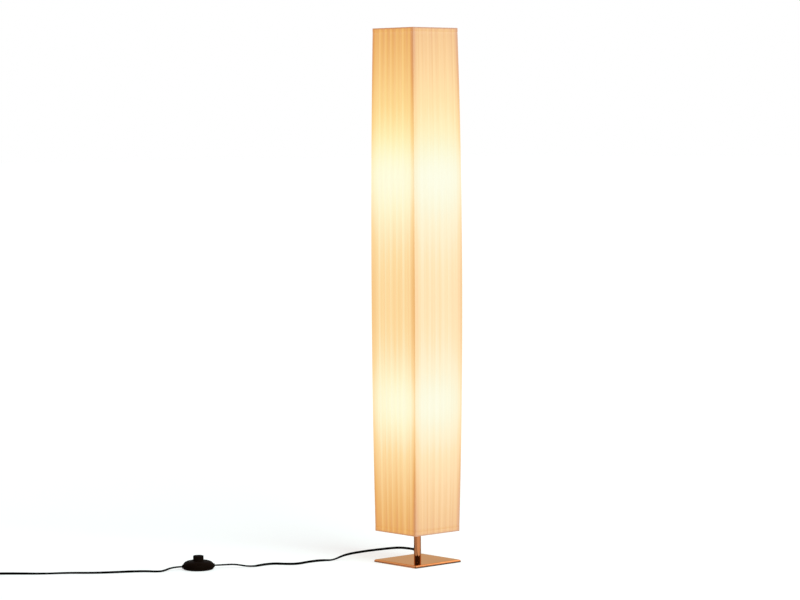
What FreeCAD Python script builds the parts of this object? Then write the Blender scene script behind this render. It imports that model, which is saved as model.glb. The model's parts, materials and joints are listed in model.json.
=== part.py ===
import FreeCAD, Part
import math
import os

from FreeCAD import Vector

# A column floor lamp. A thin square foot carries a short round stem, which disappears into a tall
# square pleated shade. Inside the shade the stem carries a ladder of two rods and three cross bars,
# with two lamp holders on its centre line, and the shade hangs on the stud at the ladder's top.
# A flat flex leaves the stem low down, lies on the floor, and passes through a foot switch.
# Millimetres, +Z up, origin on the floor under the middle of the foot, sides along X and Y.

# ---------------------------------------------------------------- driving sizes

# whole lamp
lamp_height = 1200.0          # floor to the shade's top edge
shade_foot_gap = 71.0         # floor to the shade's lower edge
shade_end_side = 134.0        # side of the shade over the fabric, at its two ends
shade_bow = 5.4               # how far each side stands out further at half height
fit = 0.05                    # radial clearance of turned and threaded pieces
soft_gap = 0.3                # clearance kept round fabric and between pieces that move apart

# foot
base_side = 140.0
pad_thickness = 0.5
weight_thickness = 4.5
cover_wall = 1.0
cover_edge_inset = 3.5        # how far the top face of the cover stands in from its edge
cover_edge_height = 3.0       # height of the cover's upright edge, below the slope
base_corner_radius = 3.0
pad_inset = 3.0

# stem and its threaded pieces (M10 x 1 lamp thread, drawn plain)
stem_diameter = 16.0
stem_wall = 1.2
bush_length = 12.0
thread_diameter = 10.0
nipple_bore = 7.0
nut_across_flats = 14.0
nut_thickness = 2.4
washer_diameter = 18.0
washer_thickness = 0.8

# inner ladder
rod_offset = 42.0             # centre line to rod, along Y
rod_diameter = 6.0
rod_stud_diameter = 4.0
rod_nut_across_flats = 7.0
rod_nut_thickness = 3.2
bar_width = 18.0
bar_thickness = 4.0
bar_end_margin = 8.0          # bar beyond the rod's centre line
boss_diameter = 12.0
boss_height = 10.0
grub_diameter = 3.0

# lamp holders and lamps
globe_heights = (373.0, 850.0)    # centres of the two lit globes above the floor
globe_radius = 30.0
glass_wall = 1.0
neck_radius = 12.4
holder_height = 52.0
holder_cap_height = 24.0
holder_cap_radius = 15.0
holder_skirt_radius = 20.0
holder_wall = 1.6
insert_height = 8.0
screw_shell_radius = 13.7
screw_shell_wall = 0.4
bulb_cap_radius = 13.1
bulb_cap_height = 24.0
tip_height = 30.0             # holder seat to the tip of the lamp's cap
globe_above_tip = 75.0

# top of the ladder
top_bar_drop = 28.0           # top bar's underside below the shade's top edge
spider_disc_radius = 14.0
spider_disc_thickness = 2.0
spider_arm_diameter = 3.2
cap_nut_radius = 10.0
cap_nut_height = 11.0
cap_nut_bore_depth = 9.0

# shade
fabric_thickness = 0.9
pleat_depth = 1.3
pleats_per_side = 7
pleat_lean = 0.82             # share of each pleat's width that lies on its broad side
corner_cut = 2.5
hem_height = 9.0
hem_thickness = 0.8
hem_lip = 5.0
frame_wire_diameter = 3.5
strut_diameter = 3.0
frame_corner_radius = 7.0
seam_tape_width = 20.0
seam_tape_thickness = 0.6
bow_steps = 6                 # straight stretches that each upright crease is drawn with

# flex, held inside the lamp and lying free outside
cord_diameter = 5.4
grommet_height = 28.0
grommet_flange_radius = 4.6
grommet_sleeve_radius = 3.6
grommet_stand_out = 1.6
inner_flex_diameter = 4.2
tie_thickness = 0.8
tie_width = 3.0
tie_count = 4

# foot switch
switch_centre = Vector(-261.0, -422.0, 0.0)
switch_turn = 63.0            # degrees from +X to the side where the lamp's flex enters
switch_radius = 34.5
switch_height = 20.0
switch_edge_height = 8.0
switch_wall = 2.0
switch_pad_thickness = 1.0
switch_floor = 2.5
button_radius = 11.75
button_stand = 11.0           # button above the body when released
button_travel = 4.0
button_flange = 1.8
button_flange_thickness = 2.0
button_flange_height = 12.0
collar_radius = 15.0
entry_height = 7.5
entry_radius = 4.6
entry_length = 2.0
spring_radius = 9.5
spring_wire = 0.8
spring_turns = 3.5
terminal_distance = 15.0
terminal_length = 10.0
terminal_width = 16.0
terminal_height = 7.0
case_screw_distance = 26.0

# plug (flat two-pin)
plug_width = 35.3
plug_thickness = 13.7
plug_length = 30.0
plug_rear_width = 14.0
plug_rear_thickness = 9.0
plug_neck_length = 22.0       # tapered strain relief
plug_neck_radius = 4.4        # at the body
plug_neck_tip_radius = 3.4    # where the flex enters
pin_diameter = 4.0
pin_length = 19.0
pin_spacing = 18.6
pin_sleeve_length = 10.0
pin_sleeve_thickness = 0.5

# coil of the flex that is left over
coil_outer_radius = 38.0
coil_turns_inward = 2.0       # lower layer
coil_turns_outward = 1.5      # upper layer
tail_length = 48.0            # coil to plug
coil_gap = 0.65

# ---------------------------------------------------------------- derived heights

weight_bottom = pad_thickness
weight_top = weight_bottom + weight_thickness
base_top = weight_top + cover_wall
thread_radius = thread_diameter / 2
stem_radius = stem_diameter / 2
stem_bore_radius = stem_radius - stem_wall
globe_above_holder = tip_height + globe_above_tip
holder_seats = [height - globe_above_holder for height in globe_heights]
stem_top = holder_seats[0] - bar_thickness
top_bar_bottom = lamp_height - top_bar_drop
top_bar_top = top_bar_bottom + bar_thickness
shade_height = lamp_height - shade_foot_gap
rod_radius = rod_diameter / 2
cord_radius = cord_diameter / 2
Z = Vector(0, 0, 1)

# ---------------------------------------------------------------- plain shapes


def cylinder(radius, z0, z1, x=0.0, y=0.0):
    """Upright cylinder from z0 to z1."""
    return Part.makeCylinder(radius, z1 - z0, Vector(x, y, z0), Z)


def ring(outer, inner, z0, z1, x=0.0, y=0.0):
    """Upright tube from z0 to z1."""
    return cylinder(outer, z0, z1, x, y).cut(cylinder(inner, z0 - 1, z1 + 1, x, y))


def rod_between(radius, start, end):
    """Straight round rod between two points."""
    run = end.sub(start)
    return Part.makeCylinder(radius, run.Length, start, run)


def block(size_x, size_y, z0, z1, x=0.0, y=0.0):
    """Upright block centred on x, y."""
    corner = Vector(x - size_x / 2, y - size_y / 2, z0)
    return Part.makeBox(size_x, size_y, z1 - z0, corner)


def hexagon(across_flats, z0, z1, x=0.0, y=0.0):
    """Six-sided prism."""
    radius = across_flats / math.sqrt(3)
    corners = [Vector(x + radius * math.cos(k * math.pi / 3), y + radius * math.sin(k * math.pi / 3), z0)
               for k in range(7)]
    return Part.Face(Part.makePolygon(corners)).extrude(Vector(0, 0, z1 - z0))


def nut(across_flats, bore_radius, z0, thickness, x=0.0, y=0.0):
    """Hexagon nut with a plain bore."""
    body = hexagon(across_flats, z0, z0 + thickness, x, y)
    return body.cut(cylinder(bore_radius, z0 - 1, z0 + thickness + 1, x, y))


def turned(profile):
    """Solid of revolution about Z from a closed list of (radius, height) corners."""
    corners = [Vector(r, 0, z) for r, z in profile]
    corners.append(corners[0])
    return Part.Face(Part.makePolygon(corners)).revolve(Vector(0, 0, 0), Z, 360)


def rounded_rectangle(size_x, size_y, radius, z):
    """Closed wire of a rectangle with round corners, centred on the axis."""
    hx = size_x / 2
    hy = size_y / 2
    diagonal = radius * (1 - math.sqrt(0.5))
    edges = []
    for k in range(4):
        turn = k * 90
        side, end = (hx, hy) if k % 2 == 0 else (hy, hx)
        line = Part.LineSegment(Vector(side, -end + radius, z), Vector(side, end - radius, z))
        arc = Part.Arc(Vector(side, end - radius, z), Vector(side - diagonal, end - diagonal, z),
                       Vector(side - radius, end, z))
        for curve in (line, arc):
            edge = curve.toShape()
            edge.rotate(Vector(0, 0, 0), Z, turn)
            edges.append(edge)
    return Part.Wire(edges)


def plate(size_x, size_y, radius, z0, z1):
    """Plate with round corners."""
    return Part.Face(rounded_rectangle(size_x, size_y, radius, z0)).extrude(Vector(0, 0, z1 - z0))


# ---------------------------------------------------------------- tubes along paths


def bend_radius(before, corner, after):
    """Radius of the tangent arc at a corner of a route, and the turn there in degrees."""
    first = before.sub(corner)
    second = after.sub(corner)
    turn = math.pi - first.getAngle(second)
    radius = 0.45 * min(first.Length, second.Length) / math.tan(turn / 2)
    return radius, math.degrees(turn)


def rounded_path(points, name, radii=None):
    """Straight runs joined by tangent arcs; prints the radii, returns the wire."""
    edges = []
    last = points[0]
    printed = []
    for k in range(1, len(points) - 1):
        radius, turn = bend_radius(points[k - 1], points[k], points[k + 1])
        if radii:
            radius = radii[k - 1]
        to_before = points[k - 1].sub(points[k]).normalize()
        to_after = points[k + 1].sub(points[k]).normalize()
        setback = radius * math.tan(math.radians(turn) / 2)
        start = points[k].add(to_before * setback)
        end = points[k].add(to_after * setback)
        bisector = to_before.add(to_after).normalize()
        centre = points[k].add(bisector * (radius / math.cos(math.radians(turn) / 2)))
        middle = centre.sub(bisector * radius)
        edges.append(Part.LineSegment(last, start).toShape())
        edges.append(Part.Arc(start, middle, end).toShape())
        last = end
        printed.append("%.0f" % radius)
    edges.append(Part.LineSegment(last, points[-1]).toShape())
    path = Part.Wire(edges)
    print("%s: length %.0f mm, bend radii %s" % (name, path.Length, " ".join(printed)))
    return path


def arc_from(start, tangent, end):
    """Edge from start to end that leaves start along the tangent."""
    chord = end.sub(start)
    along = Vector(chord).normalize()
    off = tangent.sub(along * tangent.dot(along))
    if off.Length < 1e-6:
        return Part.LineSegment(start, end).toShape()
    swing = tangent.getAngle(chord)
    middle = start.add(chord * 0.5).add(off.normalize() * (chord.Length / 2 * math.tan(swing / 2)))
    return Part.Arc(start, middle, end).toShape()


def biarc_edges(points, tangents):
    """Two tangent arcs between each pair of points."""
    edges = []
    for k in range(len(points) - 1):
        p0, p1, t0, t1 = points[k], points[k + 1], tangents[k], tangents[k + 1]
        span = p1.sub(p0)
        both = t0.add(t1)
        spread = 2 * (1 - t0.dot(t1))
        reach = (-span.dot(both) + math.sqrt(span.dot(both) ** 2 + spread * span.dot(span))) / spread
        joint = p0.add(p1).add(t0.sub(t1) * reach) * 0.5
        edges.append(arc_from(p0, t0, joint))
        back = arc_from(p1, t1 * -1, joint)
        middle = back.valueAt((back.FirstParameter + back.LastParameter) / 2)
        edges.append(Part.Arc(joint, middle, p1).toShape())
    return edges


def tube_along(path, radius, name):
    """Round tube along a path, with its volume compared with section times length."""
    first = path.OrderedEdges[0]
    start = first.valueAt(first.FirstParameter)
    direction = first.tangentAt(first.FirstParameter)
    section = Part.Wire([Part.makeCircle(radius, start, direction)])
    solid = path.makePipeShell([section], True, False)
    share = solid.Volume / (math.pi * radius ** 2 * path.Length)
    print("%s: volume is %.4f of section times length" % (name, share))
    return solid


# ---------------------------------------------------------------- foot

PARTS = {}

weight_side = base_side - 2 * (cover_wall + fit)
nut_recess_radius = washer_diameter / 2 + 1.5
nut_recess_depth = washer_thickness + nut_thickness + 0.1
recess_top = weight_bottom + nut_recess_depth


def sloped_plate(side, z0, edge_height, z1, inset, radius):
    """Square plate with an upright edge below and a slope up to a smaller top face."""
    lower = rounded_rectangle(side, side, radius, z0 + edge_height)
    upper = rounded_rectangle(side - 2 * inset, side - 2 * inset, max(radius - inset / 2, 0.5), z1)
    upright = plate(side, side, radius, z0, z0 + edge_height)
    return upright.fuse(Part.makeLoft([lower, upper], True, True)).removeSplitter()


def base_cover():
    outer = sloped_plate(base_side, pad_thickness, cover_edge_height, base_top,
                         cover_edge_inset, base_corner_radius)
    inner = sloped_plate(base_side - 2 * cover_wall, pad_thickness - 1, cover_edge_height,
                         weight_top, cover_edge_inset, base_corner_radius - cover_wall)
    return outer.cut(inner).cut(cylinder(thread_radius + fit, 0, base_top + 1))


def base_weight():
    body = sloped_plate(weight_side, weight_bottom, cover_edge_height - cover_wall - fit, weight_top,
                        cover_edge_inset, base_corner_radius - cover_wall)
    recess = cylinder(nut_recess_radius, weight_bottom - 1, recess_top)
    return body.cut(recess).cut(cylinder(thread_radius + fit, 0, base_top + 1))


PARTS["base_cover"] = base_cover()
PARTS["base_weight"] = base_weight()
pad_side = base_side - 2 * pad_inset
PARTS["base_pad"] = plate(pad_side, pad_side, base_corner_radius, 0, pad_thickness).cut(
    cylinder(nut_recess_radius, -1, pad_thickness + 1))
PARTS["base_washer"] = ring(washer_diameter / 2, thread_radius + fit,
                            recess_top - washer_thickness, recess_top)
base_nut_bottom = recess_top - washer_thickness - nut_thickness
PARTS["base_nipple"] = ring(thread_radius, nipple_bore / 2, base_nut_bottom, base_top + bush_length)

# ---------------------------------------------------------------- stem


def stem_bush(z0, z1):
    return ring(stem_bore_radius - fit, thread_radius + fit, z0, z1)


grommet_face = -(stem_radius + grommet_stand_out)
grommet_inner = -(stem_bore_radius - 0.4)
stem = ring(stem_radius, stem_bore_radius, base_top, stem_top)
grommet_hole = rod_between(grommet_sleeve_radius + fit, Vector(grommet_face, 0, grommet_height),
                           Vector(0, 0, grommet_height))
PARTS["stem_tube"] = stem.cut(grommet_hole)
PARTS["stem_bushes"] = Part.makeCompound([stem_bush(base_top, base_top + bush_length),
                                          stem_bush(stem_top - bush_length, stem_top)])


def cord_grommet():
    """Snap-in bush that lets the flex out of the stem and holds it."""
    face = Vector(grommet_face, 0, grommet_height)
    inside = Vector(grommet_inner, 0, grommet_height)
    flange = rod_between(grommet_flange_radius, face, Vector(0, 0, grommet_height))
    flange = flange.cut(cylinder(stem_radius + fit, 0, stem_top))
    sleeve = rod_between(grommet_sleeve_radius, face, inside)
    bore = rod_between(cord_radius + fit, Vector(grommet_face - 1, 0, grommet_height),
                       Vector(0, 0, grommet_height))
    return flange.fuse(sleeve).cut(bore).removeSplitter()


PARTS["cord_grommet"] = cord_grommet()

# ---------------------------------------------------------------- inner ladder


def cross_bar(z0, hole_radius):
    """Flat bar with round ends along Y, a middle hole and a hole for each rod."""
    length = 2 * (rod_offset + bar_end_margin)
    bar = plate(bar_width, length, bar_width / 2 - 0.01, z0, z0 + bar_thickness)
    bar = bar.cut(cylinder(thread_radius + fit, z0 - 1, z0 + bar_thickness + 1))
    for side in (-1, 1):
        bar = bar.cut(cylinder(hole_radius, z0 - 1, z0 + bar_thickness + 1, 0, side * rod_offset))
    return bar


rod_stud_length = bar_thickness + rod_nut_thickness
rod_bottom = stem_top + bar_thickness
stud_radius = rod_stud_diameter / 2


def side_rod(side):
    """Rod with a threaded stud at each end."""
    y = side * rod_offset
    body = cylinder(rod_radius, rod_bottom, top_bar_bottom, 0, y)
    lower = cylinder(stud_radius, rod_bottom - rod_stud_length, rod_bottom, 0, y)
    upper = cylinder(stud_radius, top_bar_bottom, top_bar_bottom + rod_stud_length, 0, y)
    return body.fuse([lower, upper]).removeSplitter()


def rod_nuts():
    """Four nuts, two under the lower bar and two above the top bar."""
    group = []
    for y in (-rod_offset, rod_offset):
        for z0 in (stem_top - rod_nut_thickness, top_bar_top):
            group.append(nut(rod_nut_across_flats, stud_radius + fit, z0, rod_nut_thickness, 0, y))
    return Part.makeCompound(group)


bracket_bottom = holder_seats[1] - bar_thickness
boss_bottom = bracket_bottom - boss_height
grub_height = boss_bottom + boss_height / 2
grub_inner = rod_offset + rod_radius + fit
grub_outer = rod_offset + boss_diameter / 2


def grub_screw(side, extra=0.0):
    start = Vector(0, side * grub_inner, grub_height)
    end = Vector(0, side * (grub_outer + extra), grub_height)
    return rod_between(grub_diameter / 2 + extra * fit, start, end)


def holder_bracket():
    """Cross bar that slides on the rods, with a boss and a grub screw at each."""
    bar = cross_bar(bracket_bottom, rod_radius + fit)
    for side in (-1, 1):
        y = side * rod_offset
        boss = ring(boss_diameter / 2, rod_radius + fit, boss_bottom, bracket_bottom, 0, y)
        bar = bar.fuse(boss.cut(grub_screw(side, 1.0)))
    return bar


PARTS["lower_bar"] = cross_bar(stem_top, stud_radius + fit)
PARTS["holder_bracket"] = holder_bracket()
PARTS["top_bar"] = cross_bar(top_bar_bottom, stud_radius + fit)
PARTS["side_rod_left"] = side_rod(-1)
PARTS["side_rod_right"] = side_rod(1)
PARTS["rod_nuts"] = rod_nuts()
PARTS["grub_screws"] = Part.makeCompound([grub_screw(-1), grub_screw(1)])

# ---------------------------------------------------------------- lamp holders and lamps

nipple_rise = holder_wall + nut_thickness + 1.0
nipple_starts = (stem_top - bush_length, bracket_bottom - nut_thickness - 1.0)
skirt_bottom = holder_cap_height
insert_bottom = holder_cap_height - 2.0
insert_top = insert_bottom + insert_height
flex_exit_height = 13.0


def holder_cap(seat):
    """Cup of the holder: a neck below and a wider rim that takes the skirt."""
    top = seat + holder_cap_height
    shoulder = top - 8.0
    outer = [(0, seat), (holder_cap_radius, seat), (holder_cap_radius, shoulder - 5),
             (holder_skirt_radius, shoulder), (holder_skirt_radius, top), (0, top)]
    inner = [(0, seat + holder_wall), (holder_cap_radius - holder_wall, seat + holder_wall),
             (holder_cap_radius - holder_wall, shoulder - 4), (holder_skirt_radius - holder_wall, shoulder + 1),
             (holder_skirt_radius - holder_wall, top + 1), (0, top + 1)]
    return turned(outer).cut(turned(inner)).cut(cylinder(thread_radius + fit, seat - 1, seat + 5))


def holder_skirt(seat):
    return ring(holder_skirt_radius, holder_skirt_radius - holder_wall, seat + skirt_bottom,
                seat + holder_height)


def holder_insert(seat):
    """Ceramic disc that carries the screw shell and the middle contact."""
    return cylinder(holder_skirt_radius - holder_wall - fit, seat + insert_bottom, seat + insert_top - 1)


def screw_shell(seat):
    outer = screw_shell_radius + screw_shell_wall
    return ring(outer, screw_shell_radius, seat + insert_top - 1, seat + holder_height - 2)


def centre_contact(seat):
    """Sprung brass tongue under the lamp's tip."""
    low = seat + insert_top - 1
    tongue = block(12, 4, low, low + 0.5, -2, 0)
    return tongue.fuse(block(4, 4, low, seat + tip_height - soft_gap))


def bulb_cap(seat):
    """Screw cap with its tip, closed below and open at the neck."""
    tip = seat + tip_height
    low = tip + 2.0
    top = tip + bulb_cap_height
    outer = [(0, tip), (4.5, tip), (6.0, low), (bulb_cap_radius - 2, low), (bulb_cap_radius, low + 3),
             (bulb_cap_radius, top), (0, top)]
    inner = cylinder(neck_radius + fit, low + 4, top + 1)
    return turned(outer).cut(inner)


def bulb_glass(seat):
    """Pear-shaped glass: a globe that narrows to the neck inside the cap."""
    centre = seat + globe_above_holder
    neck_bottom = seat + tip_height + 8.0
    swing = math.radians(-48)

    def outline(radius, neck):
        low = Vector(radius * math.cos(swing), 0, centre + radius * math.sin(swing))
        middle = Vector(radius * math.cos(math.radians(21)), 0, centre + radius * math.sin(math.radians(21)))
        top = Vector(0, 0, centre + radius)
        neck_top = Vector(neck, 0, neck_bottom + 20)
        foot = Vector(neck, 0, neck_bottom)
        edges = [Part.LineSegment(Vector(0, 0, neck_bottom), foot).toShape(),
                 Part.LineSegment(foot, neck_top).toShape(),
                 Part.LineSegment(neck_top, low).toShape(),
                 Part.Arc(low, middle, top).toShape(),
                 Part.LineSegment(top, Vector(0, 0, neck_bottom)).toShape()]
        return Part.Face(Part.Wire(edges)).revolve(Vector(0, 0, 0), Z, 360)

    inner_neck = neck_radius - glass_wall
    shell = outline(globe_radius, neck_radius).cut(outline(globe_radius - glass_wall, inner_neck))
    return shell.cut(cylinder(inner_neck, neck_bottom - 1, neck_bottom + 5))


def bulb_core(seat):
    """Light unit inside the glass: a post on a disc that closes the neck."""
    low = seat + tip_height + 6.0
    disc = cylinder(neck_radius - glass_wall - fit, low + 2.5, low + 6)
    post = turned([(0, low + 6), (6, low + 6), (4, seat + globe_above_holder - 5), (0, seat + globe_above_holder - 5)])
    return disc.fuse(post)


for name, seat in zip(("lower", "upper"), holder_seats):
    PARTS["holder_cap_" + name] = holder_cap(seat)
    PARTS["bulb_cap_" + name] = bulb_cap(seat)
    PARTS["bulb_glass_" + name] = bulb_glass(seat)
    PARTS["bulb_core_" + name] = bulb_core(seat)

# the same piece in both holders is one node with two solids
for name, make in (("holder_skirts", holder_skirt), ("holder_inserts", holder_insert),
                   ("screw_shells", screw_shell), ("centre_contacts", centre_contact)):
    PARTS[name] = Part.makeCompound([make(seat) for seat in holder_seats])

PARTS["holder_nipples"] = Part.makeCompound(
    [ring(thread_radius, nipple_bore / 2, start, seat + nipple_rise)
     for start, seat in zip(nipple_starts, holder_seats)])

# five equal nuts: under the foot, in each holder, and under the bracket and the top bar
nut_bottoms = [base_nut_bottom] + [seat + holder_wall for seat in holder_seats]
nut_bottoms += [bracket_bottom - nut_thickness, top_bar_bottom - nut_thickness]
PARTS["lamp_nuts"] = Part.makeCompound(
    [nut(nut_across_flats, thread_radius + fit, z0, nut_thickness) for z0 in nut_bottoms])

# ---------------------------------------------------------------- top stud, cap nut and spider

disc_bottom = top_bar_top + soft_gap
disc_top = disc_bottom + spider_disc_thickness
cap_nut_bottom = disc_top + soft_gap
stud_top = cap_nut_bottom + cap_nut_bore_depth - 1.0
PARTS["top_stud"] = cylinder(thread_radius, top_bar_bottom - nut_thickness - 1.0, stud_top)


def cap_nut():
    """Round grip nut, closed at the top, with a ring of shallow flutes."""
    body = cylinder(cap_nut_radius, cap_nut_bottom, cap_nut_bottom + cap_nut_height)
    body = body.makeFillet(1.5, [body.Edges[0]])
    body = body.cut(cylinder(thread_radius + fit, cap_nut_bottom - 1, cap_nut_bottom + cap_nut_bore_depth))
    for k in range(12):
        turn = math.radians(30 * k)
        reach = cap_nut_radius + 0.7
        body = body.cut(cylinder(1.2, cap_nut_bottom - 1, cap_nut_bottom + cap_nut_height + 1,
                                 reach * math.cos(turn), reach * math.sin(turn)))
    return body


PARTS["cap_nut"] = cap_nut()

# ---------------------------------------------------------------- shade


def half_side(z):
    """Half the shade's side over the fabric at height z: bowed out towards half height."""
    share = (z - shade_foot_gap) / shade_height
    return shade_end_side / 2 + shade_bow * 4 * share * (1 - share)


cloth_bottom = shade_foot_gap + hem_thickness + soft_gap
cloth_top = lamp_height - hem_thickness - soft_gap
cloth_span = pleat_depth + fabric_thickness


def pleated_section(z, inset):
    """Closed outline of one turn of the pleated cloth, each pleat a broad side and a short return."""
    half = half_side(z) - inset
    run = 2 * (half - corner_cut) / pleats_per_side
    points = []
    for k in range(4):
        turn = math.radians(90 * k)
        for n in range(pleats_per_side):
            along = -half + corner_cut + n * run
            for share, depth in ((0.0, pleat_depth), (pleat_lean, 0.0)):
                x = half - depth
                y = along + share * run
                points.append(Vector(x * math.cos(turn) - y * math.sin(turn),
                                     x * math.sin(turn) + y * math.cos(turn), z))
    points.append(points[0])
    return Part.makePolygon(points)


def levels(z0, z1, steps):
    return [z0 + (z1 - z0) * k / steps for k in range(steps + 1)]


def shade_cover():
    outer = [pleated_section(z, 0.0) for z in levels(cloth_bottom, cloth_top, bow_steps)]
    heights = levels(cloth_bottom, cloth_top, bow_steps)
    inner = [pleated_section(z, fabric_thickness) for z in heights]
    body = Part.makeLoft(outer, True, True)
    return body.cut(Part.makeLoft(inner, True, True))


def square_band(half_outer, half_inner, z0, z1):
    outer = block(2 * half_outer, 2 * half_outer, z0, z1)
    return outer.cut(block(2 * half_inner, 2 * half_inner, z0 - 1, z1 + 1))


def hem(edge, direction):
    """Binding turned over an end of the shade: a band outside and a lip over the edge."""
    far = edge - direction * hem_height
    inside = half_side(far) + soft_gap
    outside = inside + hem_thickness
    lip_start = edge - direction * hem_thickness
    band = square_band(outside, inside, min(edge, far), max(edge, far))
    lip = square_band(outside, inside - cloth_span - hem_lip + soft_gap, min(edge, lip_start), max(edge, lip_start))
    return band.fuse(lip).removeSplitter()


PARTS["shade_cover"] = shade_cover()
PARTS["top_hem"] = hem(lamp_height, 1)
PARTS["bottom_hem"] = hem(shade_foot_gap, -1)

wire_radius = frame_wire_diameter / 2
strut_radius = strut_diameter / 2
ring_half = shade_end_side / 2 - cloth_span - soft_gap - wire_radius
top_ring_height = cloth_top - wire_radius
bottom_ring_height = cloth_bottom + wire_radius


def frame_ring(z, name):
    """Square ring of round wire with bent corners."""
    path = rounded_rectangle(2 * ring_half, 2 * ring_half, frame_corner_radius, z)
    return tube_along(path, wire_radius, name)


def corner_strut(sign_x, sign_y, name):
    """Bowed upright wire between the corners of the two rings."""
    end = ring_half - frame_corner_radius * (1 - math.sqrt(0.5))
    start = bottom_ring_height + wire_radius
    finish = top_ring_height - wire_radius
    middle = end + shade_bow
    curve = Part.Arc(Vector(sign_x * end, sign_y * end, start),
                     Vector(sign_x * middle, sign_y * middle, (start + finish) / 2),
                     Vector(sign_x * end, sign_y * end, finish))
    return tube_along(Part.Wire([curve.toShape()]), strut_radius, name)


def top_spider():
    """Disc on the stud with four arms that rise to the top ring."""
    disc = ring(spider_disc_radius, thread_radius + soft_gap, disc_bottom, disc_top)
    middle = (disc_bottom + disc_top) / 2
    arms = []
    for k in range(4):
        turn = math.radians(90 * k)
        along = Vector(math.cos(turn), math.sin(turn), 0)
        start = along * (spider_disc_radius - 2) + Vector(0, 0, middle)
        end = along * (ring_half - wire_radius - soft_gap) + Vector(0, 0, top_ring_height)
        arms.append(rod_between(spider_arm_diameter / 2, start, end))
    below = cylinder(spider_disc_radius + 5, disc_bottom - 10, disc_bottom)
    return disc.fuse(arms).cut(below).removeSplitter()


def seam_tape():
    """Tape behind the joined ends of the cloth, beside the corner at +X, -Y."""
    sections = []
    for z in levels(cloth_bottom + frame_wire_diameter + 1, cloth_top - frame_wire_diameter - 1, bow_steps):
        half = half_side(z)
        face = -(half - cloth_span - soft_gap)
        right = half - cloth_span - frame_wire_diameter - strut_diameter - 1.5
        corners = [Vector(right - seam_tape_width, face, z), Vector(right, face, z),
                   Vector(right, face + seam_tape_thickness, z),
                   Vector(right - seam_tape_width, face + seam_tape_thickness, z)]
        corners.append(corners[0])
        sections.append(Part.makePolygon(corners))
    return Part.makeLoft(sections, True, True)


PARTS["top_ring"] = frame_ring(top_ring_height, "top ring")
PARTS["bottom_ring"] = frame_ring(bottom_ring_height, "bottom ring")
PARTS["corner_struts"] = Part.makeCompound(
    [corner_strut(sign_x, sign_y, "corner strut") for sign_x in (1, -1) for sign_y in (-1, 1)])
PARTS["top_spider"] = top_spider()
PARTS["seam_tape"] = seam_tape()

# ---------------------------------------------------------------- flex inside the lamp

inner_radius = inner_flex_diameter / 2
side_flex_y = rod_offset - rod_radius - soft_gap - inner_radius
exit_z = holder_seats[0] + flex_exit_height
turn_in_z = nipple_starts[1] - 14.0


def stem_flex():
    """Flex from the grommet, up the stem, to the lower holder."""
    points = [Vector(grommet_face, 0, grommet_height), Vector(0, 0, grommet_height),
              Vector(0, 0, holder_seats[0] + insert_bottom - 2)]
    path = rounded_path(points, "flex in the stem", [stem_bore_radius - 0.6])
    return tube_along(path, cord_radius, "flex in the stem")


def ladder_flex():
    """Flex from the lower holder, up beside a rod, into the upper holder."""
    wall = holder_cap_radius - holder_wall
    points = [Vector(0, wall, exit_z), Vector(0, side_flex_y, exit_z), Vector(0, side_flex_y, turn_in_z),
              Vector(0, 0, turn_in_z), Vector(0, 0, holder_seats[1] + insert_bottom - 2)]
    reach = side_flex_y - holder_cap_radius - 2
    path = rounded_path(points, "flex on the ladder", [reach, reach, inner_radius * 5])
    return tube_along(path, inner_radius, "flex on the ladder")


def flex_ties():
    """Ties that hold the flex to the rod."""
    group = []
    near = side_flex_y - inner_radius - fit - tie_thickness
    far = rod_offset + rod_radius + fit + tie_thickness
    wide = rod_diameter + 2 * (fit + tie_thickness)
    middle = (near + far) / 2
    low = exit_z + 60
    for z in levels(low, turn_in_z - 60, tie_count - 1):
        outer = plate(wide, far - near, wide / 2 - 0.01, z, z + tie_width)
        inner = plate(wide - 2 * tie_thickness, far - near - 2 * tie_thickness,
                      wide / 2 - tie_thickness - 0.01, z - 1, z + tie_width + 1)
        band = outer.cut(inner)
        band.translate(Vector(0, middle, 0))
        group.append(band)
    return Part.makeCompound(group)


exit_hole = rod_between(inner_radius + fit, Vector(0, 0, exit_z), Vector(0, holder_cap_radius + 5, exit_z))
PARTS["holder_cap_lower"] = PARTS["holder_cap_lower"].cut(exit_hole)
PARTS["flex_stem"] = stem_flex()
PARTS["flex_ladder"] = ladder_flex()
PARTS["flex_ties"] = flex_ties()

# ---------------------------------------------------------------- foot switch

switch_bottom = switch_pad_thickness
case_floor_top = switch_bottom + switch_floor
entry_face = switch_radius + entry_length


def dome_edges(outer_radius, edge_z, top_z, collar):
    """Arc of the dome from the upright edge to the collar."""
    middle = Vector(outer_radius * 0.8, 0, edge_z + (top_z - edge_z) * 0.68)
    return Part.Arc(Vector(outer_radius, 0, edge_z), middle, Vector(collar, 0, top_z)).toShape()


def dome(outer_radius, bottom, edge_z, top_z, collar):
    low = Vector(outer_radius, 0, bottom)
    foot = Vector(0, 0, bottom)
    top = Vector(0, 0, top_z)
    edges = [Part.LineSegment(foot, low).toShape(),
             Part.LineSegment(low, Vector(outer_radius, 0, edge_z)).toShape(),
             dome_edges(outer_radius, edge_z, top_z, collar),
             Part.LineSegment(Vector(collar, 0, top_z), top).toShape(),
             Part.LineSegment(top, foot).toShape()]
    return Part.Face(Part.Wire(edges)).revolve(Vector(0, 0, 0), Z, 360)


def case_posts(radius, z0, z1):
    posts = [cylinder(radius, z0, z1, 0, side * case_screw_distance) for side in (-1, 1)]
    return Part.makeCompound(posts)


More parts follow.
